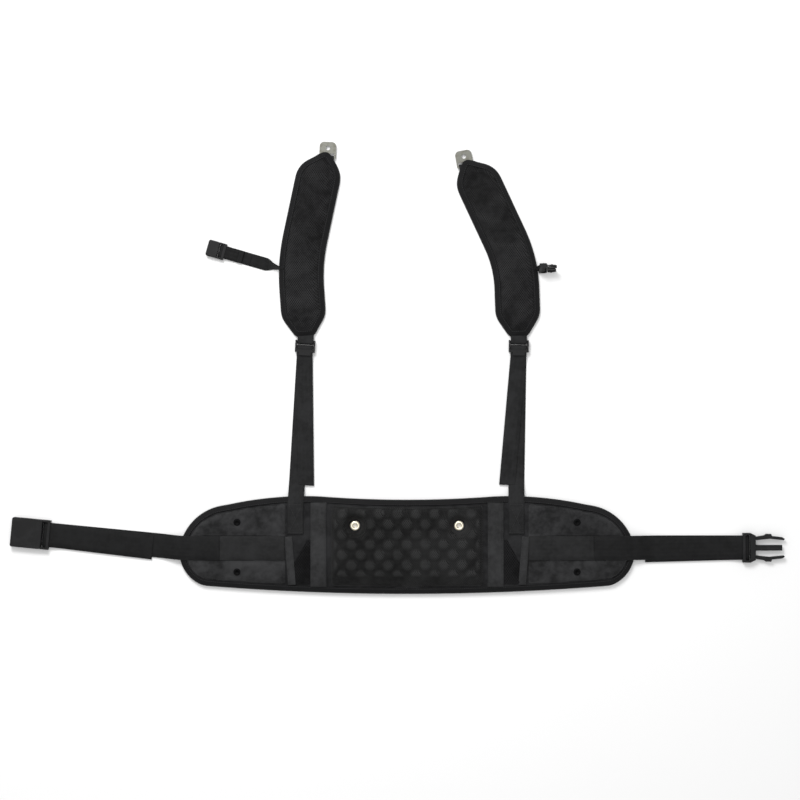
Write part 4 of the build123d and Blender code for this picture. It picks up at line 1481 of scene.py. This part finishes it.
class HARNESS_OT_shoulder_webbing(Make):
    """Makes the shoulder webbings, the pads' loops and the sternum straps"""

    bl_idname = "harness.shoulder_webbing"
    bl_label = "Shoulder webbing"

    def make(self):
        for side in SIDES:
            self.shoulder(side)
            self.pad_loops(side)
        self.sternum()
        self.stub()

    def sternum(self):
        """The long sternum strap: twisted beside the pad, then flat, and doubled round its bar."""
        root, fold = joint_point("sternum_strap_fold_left"), joint_point("sternum_socket_fold")
        line = Line(root, fold - root)
        fold_u, flat = line.u_of(fold), np.array(line.across)
        split = 0.55 * fold_u
        us = np.linspace(-7 * MM, split, 70)
        turn = np.radians(60) * (1 - ease((us - 8 * MM) / (20 * MM)))
        gather = 0.5 + 0.5 * ease((us + 1 * MM) / (15 * MM))
        start_z = root.z - 3.6 * MM
        rest = start_z + (0.12 * MM - start_z) * ease((us + 2 * MM) / (13 * MM))
        middle = rest + 0.5 * STERNUM_WIDTH * gather * np.abs(np.sin(turn))
        path = np.array([line.at(u, z) for u, z in zip(us, middle)])
        sides = (np.outer(np.cos(turn), flat) + np.outer(np.sin(turn), UP)) * gather[:, None]
        ups = np.outer(np.cos(turn), UP) - np.outer(np.sin(turn), flat)
        first = strip("sternum_webbing_root", path, sides, ups, STERNUM_WIDTH, STERNUM_THICK, 0.0, "strap")
        line.at(-1 * MM)
        line.at(6 * MM)
        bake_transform(first)
        loop = doubled_path(line, split, fold_u, height_of("sternum_loop_left"), STERNUM_THICK,
                            fold_u - 16 * MM)
        sides, ups = loop_frames(loop, flat)
        second = strip("sternum_webbing_loop", loop, sides, ups, STERNUM_WIDTH, STERNUM_THICK, split,
                       "strap")
        line.at(fold_u - 4 * MM)
        line.at(fold_u + 4 * MM)
        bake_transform(second)
        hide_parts("sternum_strap_left", "sternum_loop_left")

    def stub(self):
        """The short sternum webbing: out of the pad's seam and round the plug's bar."""
        node, thick = "sternum_strap_right", STERNUM_THICK
        axis = joint_axis("sternum_stub_fold")
        line = Line(joint_point("sternum_stub_fold"), Vector((-axis.y, axis.x, 0)))
        along = np.array(line.along)
        co = places_of(NODES[node])
        middle = co.mean(axis=0)
        spread = co - middle
        across = np.cross(along, np.linalg.svd(spread, full_matrices=False)[2][-1])
        across /= np.linalg.norm(across)
        across = across if across[2] > 0 else -across
        above = np.cross(across, along)
        rise = spread @ above
        radius, centre = (rise.max() - rise.min()) / 2 - thick / 2, (rise.max() + rise.min()) / 2
        far = line.u_of(co).max() - radius - thick / 2
        legs, bend = np.linspace(-6 * MM, far, 12), np.linspace(0.2, math.pi - 0.2, 11)
        u = np.concatenate([legs, far + radius * np.sin(bend), legs[::-1]])
        h = np.concatenate([np.full(12, -radius), -radius * np.cos(bend), np.full(12, radius)])
        shut = 1 - ease((u - 1 * MM) / max(far - 1 * MM, 1e-4))
        base = middle - along * line.u_of(middle)
        path = base + np.outer(u, along) + np.outer(centre + h - 0.55 * shut * h, above)
        ups = np.cross(np.broadcast_to(across, path.shape), unit(np.gradient(path, axis=0)))
        path -= ups * thick / 2
        gather = 0.45 + 0.55 * ease((u + 2 * MM) / (8 * MM))
        path[:, 2] += (4.5 * MM - middle[2]) * (1 - gather) / 0.55
        piece = strip("sternum_webbing_stub", path, np.outer(gather, across), ups,
                      np.ptp(spread @ across), thick, 0.0, "strap")
        line.at(0)
        line.at(6 * MM)
        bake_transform(piece)
        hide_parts(node)

    def pad_loops(self, side):
        """The loops that tie a pad to its ladder lock and hold its frame tab."""
        thick, bulge = self.sizes.webbing * 0.9, 0.45 * MM
        ends = (("lower", "pad_swing", "ladder_lock"), ("upper", "frame_tab_swing", "frame_tab"))
        for end, joint, held in ends:
            node = f"pad_{end}_loop_{side}"
            pin, axis = joint_point(f"{joint}_{side}"), joint_axis(f"{joint}_{side}")
            low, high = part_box(f"{held}_{side}")
            along = Vector((-axis.y, axis.x, 0))
            if along.dot(pin - (low + high) / 2) < 0:
                along = -along
            line = Line(pin, along)
            co = places_of(NODES[node])
            width = float(np.ptp(co @ np.array(line.across)))
            reach = line.u_of(co).max() + 4 * MM
            radius = height_of(node) / 2 - thick
            legs, bend = np.linspace(1 * MM, reach, 9), np.linspace(0, math.pi, 15)
            u = np.concatenate([legs[::-1], -(radius + bulge) * np.sin(bend), legs])
            h = np.concatenate([np.full(9, -radius), -radius * np.cos(bend), np.full(9, radius)])
            shut = 1 - 0.65 * ease((u - 2 * MM) / (reach - 2 * MM))
            path = np.array([line.at(*place) for place in zip(u, pin.z + h * shut)])
            sides, ups = loop_frames(path, line.across, -1)
            piece = strip(f"pad_webbing_{end}_{side}", path, sides, ups, width, thick, 0.0, "shoulder_strap")
            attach(piece, f"pad_{side}")
            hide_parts(node)

    def shoulder(self, side):
        """One shoulder webbing from its sewn end to its ladder lock and back."""
        thick, overlap = self.sizes.webbing, 3 * MM
        root, fold = joint_point(f"shoulder_fold_{side}"), joint_point(f"ladder_lock_fold_{side}")
        line = Line(root, fold - root)
        fold_u = line.u_of(fold)
        sewn_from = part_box("shoulder_webbing_ends")[0].y
        surface = MADE["belt_surface"]
        sewn = [(root.x, y, surface(root.x, y) + GAP) for y in np.linspace(sewn_from, root.y, 26)]
        edge_z = belt_height_at(root.x, root.y + 6 * MM)
        drop = [line.at(u, z) for u, z in (
            (4 * MM, edge_z + 0.4 * MM), (9 * MM, edge_z - 0.6 * MM), (14 * MM, edge_z - 3.0 * MM),
            (21 * MM, 3.6 * MM), (29 * MM, 1.5 * MM), (38 * MM, 0.5 * MM))]
        half_u = 0.6 * fold_u
        rest = [line.at(u, GAP) for u in np.linspace(48 * MM, half_u, 10)]
        path = rounded([*sewn, *drop, *rest], 2.2 * MM, 6)
        path[:, 2] = np.maximum(path[:, 2], 0.12 * MM)
        webbing, finish = f"shoulder_webbing_{side}", "shoulder_strap"
        first = strip(f"shoulder_strap_root_{side}", path, *frames(path, line.across), NARROW, thick, 0.0,
                      finish)
        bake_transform(first)
        if side == "left":
            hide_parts("shoulder_webbing_ends")
        loop = doubled_path(line, half_u - overlap, fold_u, height_of(f"lock_loop_{side}"), thick,
                            tail_end(webbing, line))
        loop = swung(loop, line, fold_u, -14.5 * MM * outwards(side))
        sides, ups = loop_frames(loop, line.across)
        second = strip(f"shoulder_strap_loop_{side}", loop, sides, ups, NARROW, thick,
                       runs_of(path)[-1] - overlap, finish)
        line.at(fold_u - 5 * MM)
        line.at(fold_u + 5 * MM)
        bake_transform(second)
        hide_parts(webbing, f"lock_loop_{side}")
        box_seam = [(root.x + dx, y, surface(root.x + dx, y) + thick + 0.35 * MM)
                    for dx, y in box_stitch(NARROW, sewn_from, root.y - 2 * MM)]
        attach(sew(f"shoulder_tack_{side}", [box_seam]), "belt")


def box_stitch(width, low_y, high_y):
    """(across, y) points of a boxed cross of stitches."""
    half, low, high = width / 2 - 2.5 * MM, low_y + 2.5 * MM, high_y
    corners = [(-half, low), (half, low), (half, high), (-half, high), (-half, low), (half, high),
               (half, low), (-half, high)]
    return even(corners, 2 * MM, ring=False)


class HARNESS_OT_hardware(Make):
    """Rounds and paints the buckles, ladder locks and frame tabs"""

    bl_idname = "harness.hardware"
    bl_label = "Hardware"

    def make(self):
        for name in ("socket", "plug", "arm_upper", "arm_lower"):
            dress(f"waist_buckle_{name}", "buckle", 0.55 * MM)
            dress(f"sternum_{name}", "buckle", 0.3 * MM)
        for side in SIDES:
            dress(f"ladder_lock_{side}", "buckle", 0.55 * MM)
        for side in SIDES:
            dress(f"frame_tab_{side}", "tab_steel", 0.35 * MM)


def dress(name, material, edge):
    """Rounds a CAD node's edges with live modifiers and gives it a finish."""
    node = NODES[name]
    coat(node, material)
    weld = node.modifiers.new("weld", "WELD")
    weld.merge_threshold = 1e-6
    bevel = node.modifiers.new("edges", "BEVEL")
    bevel.width, bevel.segments, bevel.limit_method = edge, 3, "ANGLE"
    bevel.angle_limit = math.radians(35)
    bevel.harden_normals = False


class HARNESS_OT_stage(Make):
    """Makes the pale surface, the soft lights and the camera straight above"""

    bl_idname = "harness.stage"
    bl_label = "Stage"

    def make(self):
        scene, half, z = bpy.context.scene, 6.0, -0.2 * MM
        corners = [(-half, -half, z), (half, -half, z), (half, half, z), (-half, half, z)]
        link("floor", mesh_of("floor", corners, [(0, 1, 2, 3)]), "floor")
        world = bpy.data.worlds.new("soft_room")
        world.use_nodes = True
        sky = world.node_tree.nodes["Background"].inputs
        sky["Color"].default_value, sky["Strength"].default_value = (1.0, 1.0, 1.0, 1.0), 0.56
        scene.world = world
        lights = (("key", (-0.7, 1.75, 1.9), 0.9, 44.0), ("overhead", (0.1, 0.2, 3.4), 2.0, 26.0))
        for name, place, width, power in lights:
            lamp = bpy.data.lights.new(name, "AREA")
            lamp.shape, lamp.size, lamp.energy = "SQUARE", width, power
            holder = bpy.data.objects.new(name, lamp)
            holder.location = place
            holder.rotation_euler = (-Vector(place)).to_track_quat("-Z", "Y").to_euler()
            scene.collection.objects.link(holder)
        camera = bpy.data.cameras.new("camera")
        camera.lens, camera.sensor_width = 85.0, 36.0
        middle, field = (-0.011, 0.197), 1.256  # of the view, which is field metres wide
        eye = bpy.data.objects.new("camera", camera)
        eye.location = (*middle, field * camera.lens / camera.sensor_width)
        camera.clip_end = 20
        scene.collection.objects.link(eye)
        scene.camera = eye
        scene.view_settings.view_transform = "Standard"


class HARNESS_PT_panel(bpy.types.Panel):
    """Lists the harness's makers, sizes and colours"""

    bl_idname = "HARNESS_PT_panel"
    bl_label = "Harness"
    bl_space_type = "VIEW_3D"
    bl_region_type = "UI"
    bl_category = "Harness"

    def draw(self, context):
        for maker in MAKERS:
            self.layout.operator(maker.bl_idname)
        for group in (context.scene.harness_sizes, context.scene.harness_colours):
            for name in group.__annotations__:
                self.layout.prop(group, name)


MAKERS = (
    HARNESS_OT_materials,
    HARNESS_OT_stage,
    HARNESS_OT_belt,
    HARNESS_OT_lumbar,
    HARNESS_OT_grommets,
    HARNESS_OT_panels,
    HARNESS_OT_belt_webbing,
    HARNESS_OT_pads,
    HARNESS_OT_shoulder_webbing,
    HARNESS_OT_hardware,
)
CLASSES = (HarnessSizes, HarnessColours, *MAKERS, HARNESS_PT_panel)


def register():
    for cls in CLASSES:
        bpy.utils.register_class(cls)
    bpy.types.Scene.harness_sizes = PointerProperty(type=HarnessSizes)
    bpy.types.Scene.harness_colours = PointerProperty(type=HarnessColours)


def unregister():
    del bpy.types.Scene.harness_sizes
    del bpy.types.Scene.harness_colours
    for cls in reversed(CLASSES):
        bpy.utils.unregister_class(cls)


def main():
    register()
    for maker in MAKERS:
        group, name = maker.bl_idname.split(".")
        getattr(getattr(bpy.ops, group), name)()


if __name__ == "__main__":
    main()
